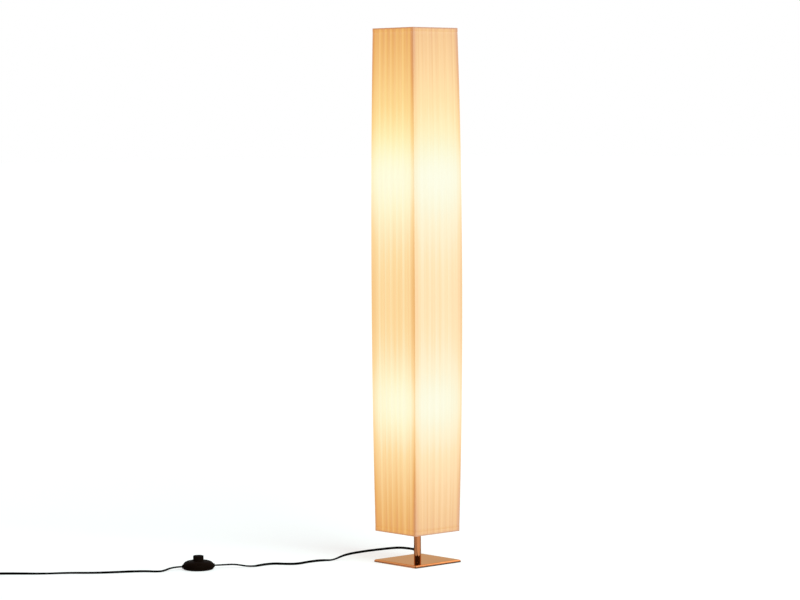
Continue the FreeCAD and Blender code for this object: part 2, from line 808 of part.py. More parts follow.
def switch_cover():
    """Domed case with two flex entries, two screw posts and the button's hole."""
    outer = dome(switch_radius, switch_bottom, switch_edge_height, switch_height, collar_radius)
    inner = dome(switch_radius - switch_wall, switch_bottom - 1, switch_edge_height,
                 switch_height - switch_wall, collar_radius)
    entry = rod_between(entry_radius, Vector(-entry_face, 0, entry_height), Vector(entry_face, 0, entry_height))
    posts = case_posts(3.0, case_floor_top, switch_height)
    body = outer.fuse(entry).cut(inner).fuse(posts.common(inner))
    bore = rod_between(cord_radius + fit, Vector(-entry_face - 1, 0, entry_height),
                       Vector(entry_face + 1, 0, entry_height))
    body = body.cut(bore)
    body = body.cut(case_posts(1.2 + fit, case_floor_top - 1, case_floor_top + 8))
    return body.cut(cylinder(button_radius + soft_gap, 0, switch_height + 1)).removeSplitter()


def switch_base():
    disc = cylinder(switch_radius - switch_wall - fit, switch_bottom, case_floor_top)
    holes = case_posts(1.2 + fit, 0, case_floor_top + 1)
    heads = case_posts(2.6 + fit, 0, switch_bottom + 1.2)
    return disc.cut(holes).cut(heads)


def case_screws():
    shank = case_posts(1.2, switch_bottom + 1.2, case_floor_top + 7).Solids
    head = case_posts(2.6, switch_bottom, switch_bottom + 1.2).Solids
    return Part.makeCompound([a.fuse(b).removeSplitter() for a, b in zip(shank, head)])


flange_top = button_flange_height + button_flange_thickness


def switch_button():
    """Round button with a flange that keeps it under the dome."""
    top = switch_height + button_stand
    body = cylinder(button_radius, button_flange_height, top)
    rim = [edge for edge in body.Edges if abs(edge.CenterOfMass.z - top) < 0.01 and edge.Closed]
    body = body.makeFillet(1.8, rim)
    flange = cylinder(button_radius + button_flange, button_flange_height, flange_top)
    return body.fuse(flange).removeSplitter()


bridge_thickness = 0.8


def contact_bridge():
    """Brass bridge under the button that joins the two contacts when the button is down."""
    return block(14, 5, button_flange_height - bridge_thickness, button_flange_height)


def fixed_contacts():
    top = button_flange_height - bridge_thickness - button_travel - soft_gap
    return Part.makeCompound([block(4, 5, case_floor_top, top, side * 5, 0) for side in (-1, 1)])


def switch_spring():
    """Coil spring between the case floor and the button's flange."""
    start = case_floor_top + spring_wire / 2 + fit
    end = button_flange_height - spring_wire / 2 - fit
    quarters = int(spring_turns * 4)
    rise = (end - start) / quarters
    slope = rise / (math.pi / 2)
    points = []
    tangents = []
    for k in range(quarters + 1):
        turn = k * math.pi / 2
        points.append(Vector(spring_radius * math.cos(turn), spring_radius * math.sin(turn), start + k * rise))
        tangents.append(Vector(-spring_radius * math.sin(turn), spring_radius * math.cos(turn), slope).normalize())
    path = Part.Wire(biarc_edges(points, tangents))
    return tube_along(path, spring_wire / 2, "switch spring")


def terminal_blocks():
    group = []
    for side in (-1, 1):
        x = side * (terminal_distance + terminal_length / 2)
        body = block(terminal_length, terminal_width, case_floor_top, case_floor_top + terminal_height, x, 0)
        for y in (-4, 4):
            body = body.cut(cylinder(1.5 + fit, case_floor_top + 3, case_floor_top + terminal_height + 1, x, y))
        group.append(body)
    return Part.makeCompound(group)


def terminal_screws():
    group = []
    for side in (-1, 1):
        x = side * (terminal_distance + terminal_length / 2)
        for y in (-4, 4):
            group.append(cylinder(1.5, case_floor_top + 3, case_floor_top + terminal_height + 0.4, x, y))
    return Part.makeCompound(group)


def switch_leads():
    """The two flex ends inside the case, from the entries to the terminals."""
    inner = terminal_distance + terminal_length
    return Part.makeCompound([rod_between(cord_radius, Vector(side * inner, 0, entry_height),
                                          Vector(side * entry_face, 0, entry_height)) for side in (-1, 1)])


def at_switch(shape):
    """Turn a piece of the switch to the flex's direction and set it in its place."""
    placed = shape.copy()
    placed.rotate(Vector(0, 0, 0), Z, switch_turn)
    placed.translate(switch_centre)
    return placed


PARTS["switch_cover"] = at_switch(switch_cover())
PARTS["switch_base"] = at_switch(switch_base())
PARTS["switch_pad"] = at_switch(ring(switch_radius - 5, 12, 0, switch_pad_thickness).cut(
    case_posts(3.0, -1, switch_pad_thickness + 1)))
PARTS["switch_case_screws"] = at_switch(case_screws())
PARTS["switch_button"] = at_switch(switch_button())
PARTS["switch_contact_bridge"] = at_switch(contact_bridge())
PARTS["switch_fixed_contacts"] = at_switch(fixed_contacts())
PARTS["switch_spring"] = at_switch(switch_spring())
PARTS["switch_terminals"] = at_switch(terminal_blocks())
PARTS["switch_terminal_screws"] = at_switch(terminal_screws())
PARTS["switch_leads"] = at_switch(switch_leads())

# ---------------------------------------------------------------- flex outside the lamp

switch_axis = Vector(math.cos(math.radians(switch_turn)), math.sin(math.radians(switch_turn)), 0)


def by_switch(distance, z):
    """Point on the switch's axis, on the lamp's side when the distance is positive."""
    return switch_centre.add(switch_axis * distance).add(Vector(0, 0, z))


lamp_route = [Vector(*point) for point in (
    (grommet_face, 0, grommet_height),
    (-31, 0, 28),
    (-59, -6, 27.5),
    (-91, -28, 22.5),
    (-117, -60, 18),
    (-138, -98, 12),
    (-145, -126, 2.7),
    (-157.5, -145.5, 2.7),
    (-162.5, -182.5, 2.7),
    (-155, -221, 2.7),
    (-170, -242, 2.7),
    (-203, -261, 2.7),
    (-197, -323, 2.7),
    (-222, -349, 8),
)] + [by_switch(entry_face + 26, entry_height), by_switch(entry_face, entry_height)]

mains_route = [by_switch(-entry_face, entry_height), by_switch(-entry_face - 22, entry_height)] + [
    Vector(*point) for point in (
        (-285, -502.5, 2.7),
        (-291.5, -519, 2.7),
        (-308.5, -529, 2.7),
        (-326, -553, 2.7),
        (-345.5, -589, 2.7),
        (-371, -630, 2.7),
        (-410, -666, 2.7),
        (-444, -721, 2.7),
        (-489, -766, 2.7),
        (-527, -812, 2.7),
    )]

PARTS["cord_lamp_to_switch"] = tube_along(rounded_path(lamp_route, "flex, lamp to switch"),
                                          cord_radius, "flex, lamp to switch")
PARTS["cord_switch_to_coil"] = tube_along(rounded_path(mains_route, "flex, switch to coil"),
                                          cord_radius, "flex, switch to coil")

# ---------------------------------------------------------------- coil

coil_pitch = cord_diameter + coil_gap
coil_start = mains_route[-1]
coil_heading = math.atan2(mains_route[-1].y - mains_route[-2].y, mains_route[-1].x - mains_route[-2].x)


def coil_places():
    """Quarter-turn points and tangents: inwards below, a half turn that climbs, outwards above."""
    shrink = coil_pitch / (2 * math.pi)
    inward = coil_turns_inward * 2 * math.pi
    inner = coil_outer_radius - shrink * inward
    total = inward + math.pi + coil_turns_outward * 2 * math.pi
    count = int(round(total / (math.pi / 2)))
    places = []
    for k in range(count + 1):
        turn = total * k / count
        if turn <= inward:
            radius, outward, height, climb = coil_outer_radius - shrink * turn, -shrink, 0.0, 0.0
        elif turn >= inward + math.pi:
            radius = inner + shrink * (turn - inward - math.pi)
            outward, height, climb = shrink, coil_pitch, 0.0
        else:
            share = (turn - inward) / math.pi
            radius = inner - shrink * math.pi * share * (1 - share)
            outward = -shrink * (1 - 2 * share)
            height = coil_pitch * (1 - math.cos(math.pi * share)) / 2
            climb = coil_pitch * math.sin(math.pi * share) / 2
        if k in (0, count):
            outward = 0.0
        places.append((turn, radius, outward, height, climb))
    return places


def coil_path():
    """The coil's wire, entered along the flex's heading and wound to the left."""
    lead = Vector(math.cos(coil_heading), math.sin(coil_heading), 0)
    side = Vector(-lead.y, lead.x, 0)
    entry = coil_start.add(lead * cord_diameter)
    centre = entry.add(side * coil_outer_radius)
    points = []
    tangents = []
    for turn, radius, outward, height, climb in coil_places():
        out = side * -math.cos(turn) + lead * math.sin(turn)
        forward = lead * math.cos(turn) + side * math.sin(turn)
        points.append(centre.add(out * radius).add(Vector(0, 0, height)))
        tangents.append((forward * radius).add(out * outward).add(Vector(0, 0, climb)).normalize())
    last = points[-1].add(tangents[-1] * cord_diameter)
    edges = [Part.LineSegment(coil_start, entry).toShape()] + biarc_edges(points, tangents)
    edges.append(Part.LineSegment(points[-1], last).toShape())
    return Part.Wire(edges), last, tangents[-1]


def least_gap(path, diameter):
    """Least clear distance between stretches of the path that lie over half a turn apart."""
    count = 900
    points = path.discretize(Number=count)
    step = path.Length / (count - 1)
    skip = int(coil_outer_radius * 2 / step)
    least = min(points[i].distanceToPoint(points[j])
                for i in range(0, count, 2) for j in range(i + skip, count))
    return least - diameter


coil_wire, coil_end, coil_end_heading = coil_path()
PARTS["cord_coil"] = tube_along(coil_wire, cord_radius, "coil")
print("coil: length %.0f mm, least gap to itself %.2f mm" % (coil_wire.Length, least_gap(coil_wire, cord_diameter)))

# ---------------------------------------------------------------- plug

plug_height = plug_thickness / 2
plug_heading = math.atan2(coil_end_heading.y, coil_end_heading.x)


def ahead(distance, aside, z):
    """Point beyond the coil's end along its heading, and to the left of it."""
    forward = Vector(math.cos(plug_heading), math.sin(plug_heading), 0)
    offset = Vector(-forward.y, forward.x, 0) * aside
    return Vector(coil_end.x, coil_end.y, 0).add(forward * distance).add(offset).add(Vector(0, 0, z))


tail_route = [coil_end, ahead(tail_length * 0.34, 0, coil_end.z), ahead(tail_length * 0.67, 2, plug_height),
              ahead(tail_length, 2, plug_height)]
tail_path = rounded_path(tail_route, "flex, coil to plug")
PARTS["cord_coil_to_plug"] = tube_along(tail_path, cord_radius, "flex, coil to plug")


def plug_section(x, width, thickness, radius):
    """Upright outline of the plug across its length."""
    wire = rounded_rectangle(width, thickness, radius, 0)
    wire.rotate(Vector(0, 0, 0), Vector(1, 0, 0), 90)
    wire.rotate(Vector(0, 0, 0), Z, 90)
    wire.translate(Vector(x, 0, 0))
    return wire


def plug_pieces():
    """Body, pins and sleeves with the flex entering at x = 0 and the pins along +X."""
    rear = plug_neck_length
    front = rear + plug_length
    body = Part.makeLoft([plug_section(rear, plug_rear_width, plug_rear_thickness, 3.5),
                          plug_section(front, plug_width, plug_thickness, 3.5)], True, True)
    neck = Part.makeCone(plug_neck_tip_radius, plug_neck_radius, rear, Vector(0, 0, 0), Vector(1, 0, 0))
    root = rod_between(plug_neck_radius, Vector(rear, 0, 0), Vector(rear + 4, 0, 0))
    body = body.fuse([neck, root]).removeSplitter()
    pins = []
    sleeves = []
    for side in (-1, 1):
        y = side * pin_spacing / 2
        pin = rod_between(pin_diameter / 2, Vector(front + pin_sleeve_length, y, 0), Vector(front + pin_length, y, 0))
        core = rod_between(pin_diameter / 2 - pin_sleeve_thickness, Vector(front, y, 0),
                           Vector(front + pin_sleeve_length, y, 0))
        sleeve = rod_between(pin_diameter / 2, Vector(front, y, 0), Vector(front + pin_sleeve_length, y, 0))
        pins.append(pin.fuse(core).removeSplitter())
        sleeves.append(sleeve.cut(core))
    return body, Part.makeCompound(pins), Part.makeCompound(sleeves)


def at_plug(shape):
    placed = shape.copy()
    placed.rotate(Vector(0, 0, 0), Z, math.degrees(plug_heading))
    placed.translate(ahead(tail_length, 2, plug_height))
    return placed


for name, piece in zip(("plug_body", "plug_pins", "plug_pin_sleeves"), plug_pieces()):
    PARTS[name] = at_plug(piece)

free_length = sum(part.Length for part in (rounded_path(lamp_route, "lamp side"), coil_wire, tail_path,
                                           rounded_path(mains_route, "mains side")))
print("free flex outside the lamp %.0f mm" % free_length)

# ---------------------------------------------------------------- output

for name, shape in PARTS.items():
    problems = [solid for solid in shape.Solids if not solid.isValid() or solid.Volume <= 0]
    note = "INVALID" if problems or not shape.Solids else ""
    box = shape.BoundBox
    print("%-24s %2d solids  %10.1f mm3  z %.1f to %.1f %s" % (
        name, len(shape.Solids), shape.Volume, box.ZMin, box.ZMax, note))
    shape.exportStep("parts/%s.step" % name)
print("%d nodes" % len(PARTS))
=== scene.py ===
# %% [markdown]
# # A column floor lamp
# The lamp is a tall square column of pleated cloth on a short stem and a thin plated foot. Two
# lamps inside make the whole column glow. A flat black flex leaves the stem low down and runs over
# the floor through a foot switch to its plug.
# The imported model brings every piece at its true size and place. These cells dress it: they add the
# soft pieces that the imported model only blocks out, and give every piece a worked finish.
# Lengths are in metres, +Z is up, and the origin is on the floor under the middle of the foot.

# %% [markdown]
# ## The frame and the tools
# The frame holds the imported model: its nodes, its bodies and its record. Each node names the finish
# it wants, so the names are kept in a table. Numpy does the shapes, and Blender's own modules make
# them into meshes and materials.

import json
import math

import bmesh
import bpy
import numpy as np
from mathutils import Matrix, Vector


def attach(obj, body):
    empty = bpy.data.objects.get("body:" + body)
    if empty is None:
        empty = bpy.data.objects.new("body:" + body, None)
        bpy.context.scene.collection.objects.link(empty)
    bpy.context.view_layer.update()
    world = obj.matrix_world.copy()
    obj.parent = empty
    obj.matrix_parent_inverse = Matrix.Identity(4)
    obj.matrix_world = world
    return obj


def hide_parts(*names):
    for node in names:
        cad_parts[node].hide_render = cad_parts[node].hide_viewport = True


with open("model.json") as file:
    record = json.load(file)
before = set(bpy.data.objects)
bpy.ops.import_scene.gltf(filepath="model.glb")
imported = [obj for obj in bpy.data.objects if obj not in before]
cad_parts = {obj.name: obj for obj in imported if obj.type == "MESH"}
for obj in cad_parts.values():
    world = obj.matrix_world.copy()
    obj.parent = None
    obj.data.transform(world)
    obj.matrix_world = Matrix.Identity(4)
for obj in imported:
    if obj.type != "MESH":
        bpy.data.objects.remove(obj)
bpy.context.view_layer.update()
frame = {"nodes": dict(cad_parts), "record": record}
nodes = frame["nodes"]
slots = {part["node"]: part["material_slot"] for part in frame["record"]["subparts"]}

# %% [markdown]
# ## The camera
# The picture was taken from well back with a long lens, so the column's edges stay nearly parallel.
# The place and the angles were worked out from the shade's corners and the foot's corners. A camera
# could be aimed with a tracking constraint instead, but three angles say exactly where it looks.

# %% Camera
camera_turn = math.radians(47.589)
camera_distance, camera_height = 6.358, 0.984
camera_pan, camera_tilt, camera_roll = (math.radians(a) for a in (0.329, 3.522, -0.293))

heading = camera_turn + camera_pan
ahead = Vector((-math.sin(heading) * math.cos(camera_tilt), math.cos(heading) * math.cos(camera_tilt),
                -math.sin(camera_tilt)))
level = ahead.cross(Vector((0, 0, 1))).normalized()
rise = level.cross(ahead)
across = level * math.cos(camera_roll) + rise * math.sin(camera_roll)
upward = rise * math.cos(camera_roll) - level * math.sin(camera_roll)
lens = bpy.data.cameras.new("photo_camera")
lens.sensor_width, lens.lens = 36, 127.73
camera = bpy.data.objects.new("photo_camera", lens)
camera.matrix_world = Matrix.Translation(
    (math.sin(camera_turn) * camera_distance, -math.cos(camera_turn) * camera_distance, camera_height)
) @ Matrix((across, upward, -ahead)).transposed().to_4x4()
bpy.context.collection.objects.link(camera)
bpy.context.scene.camera = camera
print("camera at", [round(v, 3) for v in camera.location])

# %% [markdown]
# ## Making a mesh from a grid
# Most pieces here are surfaces with two parameters: one runs along a row of the grid, the other from
# row to row. One helper numbers the grid's points, joins them with four-sided faces, and closes the
# ends. Doing the faces as one array is quick and leaves nothing to chance.

# %% Grid to mesh


def grid_faces(rows, columns, rows_close, columns_close):
    """Four-sided faces of a grid whose points are numbered row by row.

    Point (r, c) has the number r * columns + c. A direction that closes joins its last line to its first."""
    r, c = np.meshgrid(np.arange(rows if rows_close else rows - 1),
                       np.arange(columns if columns_close else columns - 1), indexing="ij")
    r2, c2 = (r + 1) % rows, (c + 1) % columns
    corners = [r * columns + c, r * columns + c2, r2 * columns + c2, r2 * columns + c]
    return np.stack(corners, -1).reshape(-1, 4)


def piece_from(name, points, faces, ends=(), outward=True, sharp=35.0):
    """A mesh object from an array of points, four-sided faces and flat end faces.

    Points that coincide are merged, which closes seams and poles, and faces are turned outwards."""
    mesh = bpy.data.meshes.new(name)
    mesh.from_pydata(points.reshape(-1, 3).tolist(), [], faces.tolist() + [list(end) for end in ends])
    shape = bmesh.new()
    shape.from_mesh(mesh)
    bmesh.ops.remove_doubles(shape, verts=shape.verts, dist=1e-6)
    bmesh.ops.dissolve_degenerate(shape, edges=shape.edges, dist=1e-7)
    if outward:
        bmesh.ops.recalc_face_normals(shape, faces=shape.faces)
    shape.to_mesh(mesh)
    shape.free()
    mesh.shade_smooth()
    mesh.set_sharp_from_angle(angle=math.radians(sharp))
    piece = bpy.data.objects.new(name, mesh)
    bpy.context.collection.objects.link(piece)
    print(name, "faces", len(mesh.polygons))
    return piece


def turned(name, profile, segments=96, centre=(0, 0, 0), closed=False, sharp=35.0):
    """A turned piece: each (radius, height) pair of the profile is carried round the upright axis.

    Point (angle a, step k) = centre + (r_k cos a, r_k sin a, z_k)."""
    radius, height = np.array(profile, float).T
    a = np.linspace(0, 2 * np.pi, segments, endpoint=False)[:, None]
    z = np.broadcast_to(height, (segments, len(height)))
    points = np.stack([radius * np.cos(a), radius * np.sin(a), z], -1) + np.array(centre)
    return piece_from(name, points, grid_faces(segments, len(height), True, closed), sharp=sharp)


# %% [markdown]
# ## The flex: its route
# The flex is a flat twin cord, 5.4 mm wide and 3.2 mm thick. It leaves a bush in the stem, falls to
# the floor in one long slope, wanders to the foot switch, and goes on past the picture's edge to a
# small coil and the plug. A free cord could be simulated, but its lie is known, so it is drawn: a
# smooth curve whose control points are given one by one, lower where it lies flat on the floor.

# %% Route points
cord_width, cord_thickness = 0.0054, 0.0032
grommet_exit = (-0.0096, 0, 0.028)
switch_place = np.array([-0.261, -0.422])
switch_turn = math.radians(63)
switch_line = np.array([math.cos(switch_turn), math.sin(switch_turn)])


def by_switch(distance, height):
    """A point on the switch's own line, towards the lamp where the distance is positive."""
    return (*(switch_place + switch_line * distance), height)


lamp_side = [grommet_exit, (-0.031, 0, 0.028), (-0.059, -0.006, 0.0275), (-0.091, -0.028, 0.0225),
             (-0.117, -0.060, 0.018), (-0.138, -0.098, 0.012), (-0.145, -0.126, 0.0018),
             (-0.1575, -0.1455, 0.0020), (-0.1625, -0.1825, 0.0020), (-0.155, -0.221, 0.0020),
             (-0.170, -0.242, 0.0020), (-0.203, -0.261, 0.0020), (-0.197, -0.323, 0.0019),
             (-0.222, -0.349, 0.0080), by_switch(0.0625, 0.0075), by_switch(0.0365, 0.0075)]
mains_side = [by_switch(-0.0365, 0.0075), by_switch(-0.0585, 0.0075), (-0.285, -0.5025, 0.0018),
              (-0.2915, -0.519, 0.0020), (-0.3085, -0.529, 0.0020), (-0.326, -0.553, 0.0016),
              (-0.3455, -0.589, 0.0016), (-0.371, -0.630, 0.0016), (-0.410, -0.666, 0.0016),
              (-0.444, -0.721, 0.0016), (-0.489, -0.766, 0.0020), (-0.527, -0.812, 0.0027)]
print("points from the lamp to the switch:", len(lamp_side), "and on to the coil:", len(mains_side))

# %% [markdown]
# The length that the picture doesn't show is wound up out of view. The coil spirals in for two turns
# on the floor, climbs in half a turn, and spirals out again for one and a half turns on top. It could
# be a second object, but then the flex would have a joint in it. Its turns are more control points of
# the same curve, sixteen to a turn.

# %% Coil and tail points
coil_pitch, coil_radius, per_turn = 0.00605, 0.038, 16
lead_in = 0.0054  # straight stretch before the first turn and after the last
lead = np.array(mains_side[-1])[:2] - np.array(mains_side[-2])[:2]
lead /= np.linalg.norm(lead)
aside = np.array([-lead[1], lead[0]])
coil_middle = np.array(mains_side[-1])[:2] + lead * lead_in + aside * coil_radius


def coil_points():
    """Turns of the coil, a row to a point.

    The radius falls by one pitch a turn, dips while the flex climbs, and grows again."""
    t = np.arange(4 * per_turn + 1) * 2 * np.pi / per_turn
    slope = coil_pitch / (2 * np.pi)
    climb = np.clip((t - 4 * np.pi) / np.pi, 0, 1)
    inner = coil_radius - 4 * np.pi * slope
    radius = np.where(t <= 4 * np.pi, coil_radius - slope * t, inner + slope * np.maximum(t - 5 * np.pi, 0))
    radius = radius - np.where((climb > 0) & (climb < 1), slope * np.pi * climb * (1 - climb), 0)
    flat = coil_middle + (lead * np.sin(t)[:, None] - aside * np.cos(t)[:, None]) * radius[:, None]
    return np.column_stack([flat, 0.0027 + 0.0058 * (1 - np.cos(np.pi * climb)) / 2])


turns = coil_points()
tail_start = np.append(turns[-1, :2] + lead * lead_in, 0.00875)


def past_coil(distance, left, height):
    """A point beyond the coil's end along its heading, and to the left of it."""
    return (*(tail_start[:2] + lead * distance + aside * left), height)


tail = [tuple(tail_start), past_coil(0.0163, 0, 0.00875), past_coil(0.0322, 0.002, 0.00685),
        past_coil(0.048, 0.002, 0.00685)]
mains_points = mains_side + [tuple(p) for p in turns] + tail
print("control points:", len(lamp_side), "and", len(mains_points))

# %% [markdown]
# ## The flex: its section
# A flat flex twists as it goes: it stands on edge where the bush holds it and lies flat on the floor,
# and in the coil it stands on edge again, because it only bends easily the thin way. Blender can
# bevel a curve with a given section, but it turns that section by its own rule. Here the curve only
# gives the line, which comes first.

# %% A smooth line


def smooth_line(name, control_points):
    """Points along a quadratic NURBS curve with these control points, read from the curve itself."""
    curve = bpy.data.curves.new(name, "CURVE")
    curve.dimensions = "3D"
    spline = curve.splines.new("NURBS")
    spline.points.add(len(control_points) - 1)
    weighted = np.column_stack([np.array(control_points), np.ones(len(control_points))])
    spline.points.foreach_set("co", weighted.ravel())
    spline.order_u = 3
    spline.use_endpoint_u = True
    spline.resolution_u = 10
    holder = bpy.data.objects.new(name, curve)
    line = bpy.data.meshes.new_from_object(holder)
    points = np.empty(len(line.vertices) * 3)
    line.vertices.foreach_get("co", points)
    bpy.data.objects.remove(holder)
    bpy.data.curves.remove(curve)
    bpy.data.meshes.remove(line)
    return points.reshape(-1, 3)


def along(points):
    """Distance along a line of points, from its start to each of them."""
    return np.append(0, np.cumsum(np.linalg.norm(np.diff(points, axis=0), axis=1)))


three_points = np.array([[0, 0, 0], [0, 0, 1], [0, 0, 2]])
print("length of a line of three points one metre apart:", along(three_points)[-1])

# %% [markdown]
# The section is a flat oval carried along that line and turned by an angle that changes along it.
# Where the oval would dip into the floor it is lifted to rest on its own underside. Two directions
# square to the line carry it: one stays level, the other stands on both, so the oval never spins.

# %% The flat section


def flat_flex(name, control_points, twist, around=20):
    """A flat oval flex. Section point j = centre + across * w_j + through * t_j, where w_j and t_j go round a
    flat oval, and across and through turn about the line by the twist's angle at that distance."""
    line = smooth_line(name, control_points)
    distance = along(line)
    angle = np.radians(np.interp(distance / distance[-1], *np.array(twist, float).T))
    half_height = cord_thickness / 2 + (cord_width - cord_thickness) / 2 * np.abs(np.sin(angle))
    line[:, 2] = np.maximum(line[:, 2], half_height)
    forward = np.gradient(line, axis=0)
    forward /= np.linalg.norm(forward, axis=1)[:, None]
    sideways = np.cross(forward, [0, 0, 1])
    sideways /= np.linalg.norm(sideways, axis=1)[:, None]
    normal = np.cross(sideways, forward)
    cosine, sine = np.cos(angle)[:, None], np.sin(angle)[:, None]
    across, through = sideways * cosine + normal * sine, normal * cosine - sideways * sine
    a = np.linspace(0, 2 * np.pi, around, endpoint=False)
    straight = (cord_width - cord_thickness) / 2
    w = cord_thickness / 2 * np.cos(a) + straight * np.tanh(4 * np.cos(a))
    t = cord_thickness / 2 * np.sin(a)
    points = line[:, None] + across[:, None] * w[:, None] + through[:, None] * t[:, None]
    ends = [range(around), range(around * (len(line) - 1), around * len(line))]
    piece = piece_from(name, points, grid_faces(len(line), around, False, True), ends)
    print(name, "is", round(distance[-1], 3), "m long")
    return piece, line, distance[-1]


# %% [markdown]
# The twists are read off the picture, where the flex looks nearly twice as thick on edge as lying
# flat. It is thick from the stem to the floor, thin at the kink where it lands, thick again for a
# while, then thin up to the switch. Each twist is a list of (share of the length, angle in degrees).

# %% The two stretches of flex
lamp_twist = [(0, 88), (0.31, 82), (0.39, 5), (0.41, 5), (0.48, 72), (0.55, 88), (0.66, 88), (0.72, 64),
              (0.79, 50), (0.83, 10), (1, 0)]
flex_to_switch, lamp_line, lamp_length = flat_flex("flex_to_switch", lamp_side, lamp_twist)
mains_twist = [(0, 5), (0.02, 5), (0.055, 30), (0.10, 50), (0.24, 20), (0.34, 84), (0.36, 90), (0.962, 90),
               (0.985, 12), (1, 0)]
flex_to_plug, mains_line, mains_length = flat_flex("flex_to_plug", mains_points, mains_twist)
print("flex outside the lamp:", round(lamp_length + mains_length, 3), "m")

# %% [markdown]
# ## The plug
# A flat two-pin plug, moulded in one piece with its strain relief. Its section is a rounded box that
# widens from the flex to the pins. The relief is a tapered neck with narrow grooves, so it bends
# gradually. It could be sculpted from a box, but a width and a thickness along its length say it all.

# %% Plug body


def plug_form():
    """Half width, half thickness and squareness at distances from the flex's end to the pin face.

    The neck's radius rises from 3.4 to 4.4 mm with six shallow grooves; the body widens from there."""
    x = np.concatenate([[0, 0.0004], np.linspace(0.001, 0.021, 60), np.linspace(0.022, 0.0505, 20),
                        [0.0515, 0.052]])
    neck = np.clip(x / 0.022, 0, 1)
    groove = 0.00045 * np.clip(np.cos(np.clip((x - 0.003) / 0.0027, 0, 6.5) * 2 * np.pi) * -2, 0, 1)
    groove = np.where((x > 0.003) & (x < 0.0195), groove, 0)
    swell = np.clip((x - 0.022) / 0.030, 0, 1)
    wide = 0.0034 + 0.0010 * neck - groove + (0.01765 - 0.0044) * np.sin(swell * np.pi / 2) ** 1.35
    thick = 0.0034 + 0.0010 * neck - groove + (0.00685 - 0.0044) * np.sin(swell * np.pi / 2) ** 1.2
    round_off = np.array([0.82] + [1] * (len(x) - 3) + [0.985, 0.94])
    return x, wide * round_off, thick * round_off, 2 + 1.6 * swell


def plug_shape(name, around=48):
    """Superellipse sections: across = W |cos a|^(2/n), up = T |sin a|^(2/n), signed, n from 2 to 3.6."""
    x, wide, thick, power = (v[:, None] for v in plug_form())
    a = np.linspace(0, 2 * np.pi, around, endpoint=False)
    side = wide * np.sign(np.cos(a)) * np.abs(np.cos(a)) ** (2 / power)
    height = thick * np.sign(np.sin(a)) * np.abs(np.sin(a)) ** (2 / power)
    start = np.array(past_coil(0.048, 0.002, 0.00685))
    forward, left = np.append(lead, 0), np.append(aside, 0)
    points = start + x[..., None] * forward + side[..., None] * left + height[..., None] * np.array([0, 0, 1])
    ends = [range(around), range(around * (len(x) - 1), around * len(x))]
    return piece_from(name, points, grid_faces(len(x), around, False, True), ends, sharp=50)


plug = plug_shape("moulded_plug")

# %% [markdown]
# ## The coil's tie
# A strap of soft tie holds the coil together, as on any spare flex. It could be a twisted wire, but a
# plain strap is what such a lead is sold with. A rounded box is drawn round the bundle's section, and
# four such loops, two inside and two outside, make the strap.

# %% Coil tie


def coil_tie(name):
    """A band 7 mm wide round the coil's bundle: a rounded box in the plane across the turns."""
    a = np.linspace(0, 2 * np.pi, 48, endpoint=False)
    middle = coil_middle + aside * 0.0322
    out = np.append(aside, 0)
    span, height = 0.0102, 0.0059
    ring_out = np.sign(np.cos(a)) * np.abs(np.cos(a)) ** 0.55 * span
    ring_up = np.sign(np.sin(a)) * np.abs(np.sin(a)) ** 0.55 * height
    loops = []
    for grow, shift in ((0, -1), (0.0009, -1), (0.0009, 1), (0, 1)):
        scale_out, scale_up = (span + grow) / span, (height + grow) / height
        centre = np.array([*middle, 0.0068]) + np.append(lead, 0) * 0.0035 * shift
        outwards = ring_out[:, None] * scale_out * out
        loops.append(centre + outwards + (ring_up * scale_up)[:, None] * np.array([0, 0, 1]))
    return piece_from(name, np.array(loops), grid_faces(4, 48, True, True))


tie = coil_tie("coil_tie")

# %% [markdown]
# ## What the flex's pieces stand for
# Every finished piece rides on a body of the imported model, so that it moves with it, and takes the
# place of the plain nodes that blocked it out. The tie is new, so it takes no node's place.

# %% Declaring the flex's pieces
for piece in (flex_to_switch, flex_to_plug, plug, tie):
    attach(piece, "stand")
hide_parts("cord_lamp_to_switch")
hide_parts("cord_switch_to_coil", "cord_coil", "cord_coil_to_plug")
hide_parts("plug_body")
print("the flex and its pieces ride on the stand")

# %% [markdown]
# ## The foot switch
# The switch is a low round case that a foot finds easily, with a big round button in the middle. The
# case is two moulded halves, so a fine joint line runs round its edge. Both could be lathed with a
# Screw modifier, but the same helper as before turns a list of (radius, height) pairs just as well.

# %% Switch case


def dome_profile():
    """Case outline: the flange round the button, the dome, down to the floor's edge, and back inside.

    The dome is a quarter of a flattened round, in mm: r = 15 + 19.5 sin^0.82 q, z = 8 + 11.8 cos^0.92 q."""
    q = np.linspace(0, np.pi / 2, 26)
    r = 0.015 + 0.0195 * np.sin(q) ** 0.82
    z = 0.008 + 0.0118 * np.cos(q) ** 0.92
    outside = list(zip(r, z))
    lip = [(0.01205, 0.0165), (0.01205, 0.0194), (0.0124, 0.0199), (0.0143, 0.0199)]
    foot = [(0.0345, 0.0074), (0.0341, 0.0071), (0.0341, 0.0067), (0.0345, 0.0064), (0.0342, 0.0035),
            (0.0333, 0.0014), (0.0325, 0.0010), (0.0318, 0.0010), (0.0325, 0.0060)]
    inside = [(0.015 + 0.0175 * math.sin(k), 0.0075 + 0.0098 * math.cos(k))
              for k in np.linspace(math.pi / 2, 0, 12)]
    return lip + outside + foot + inside


switch_case = turned("switch_case", dome_profile(), 128, (*switch_place, 0), closed=True, sharp=40)

# %% [markdown]
# The button is a round cap with a shallow dish for the foot and a fine groove under its rim. Its wider
# flange stays inside the case and keeps it from coming out.

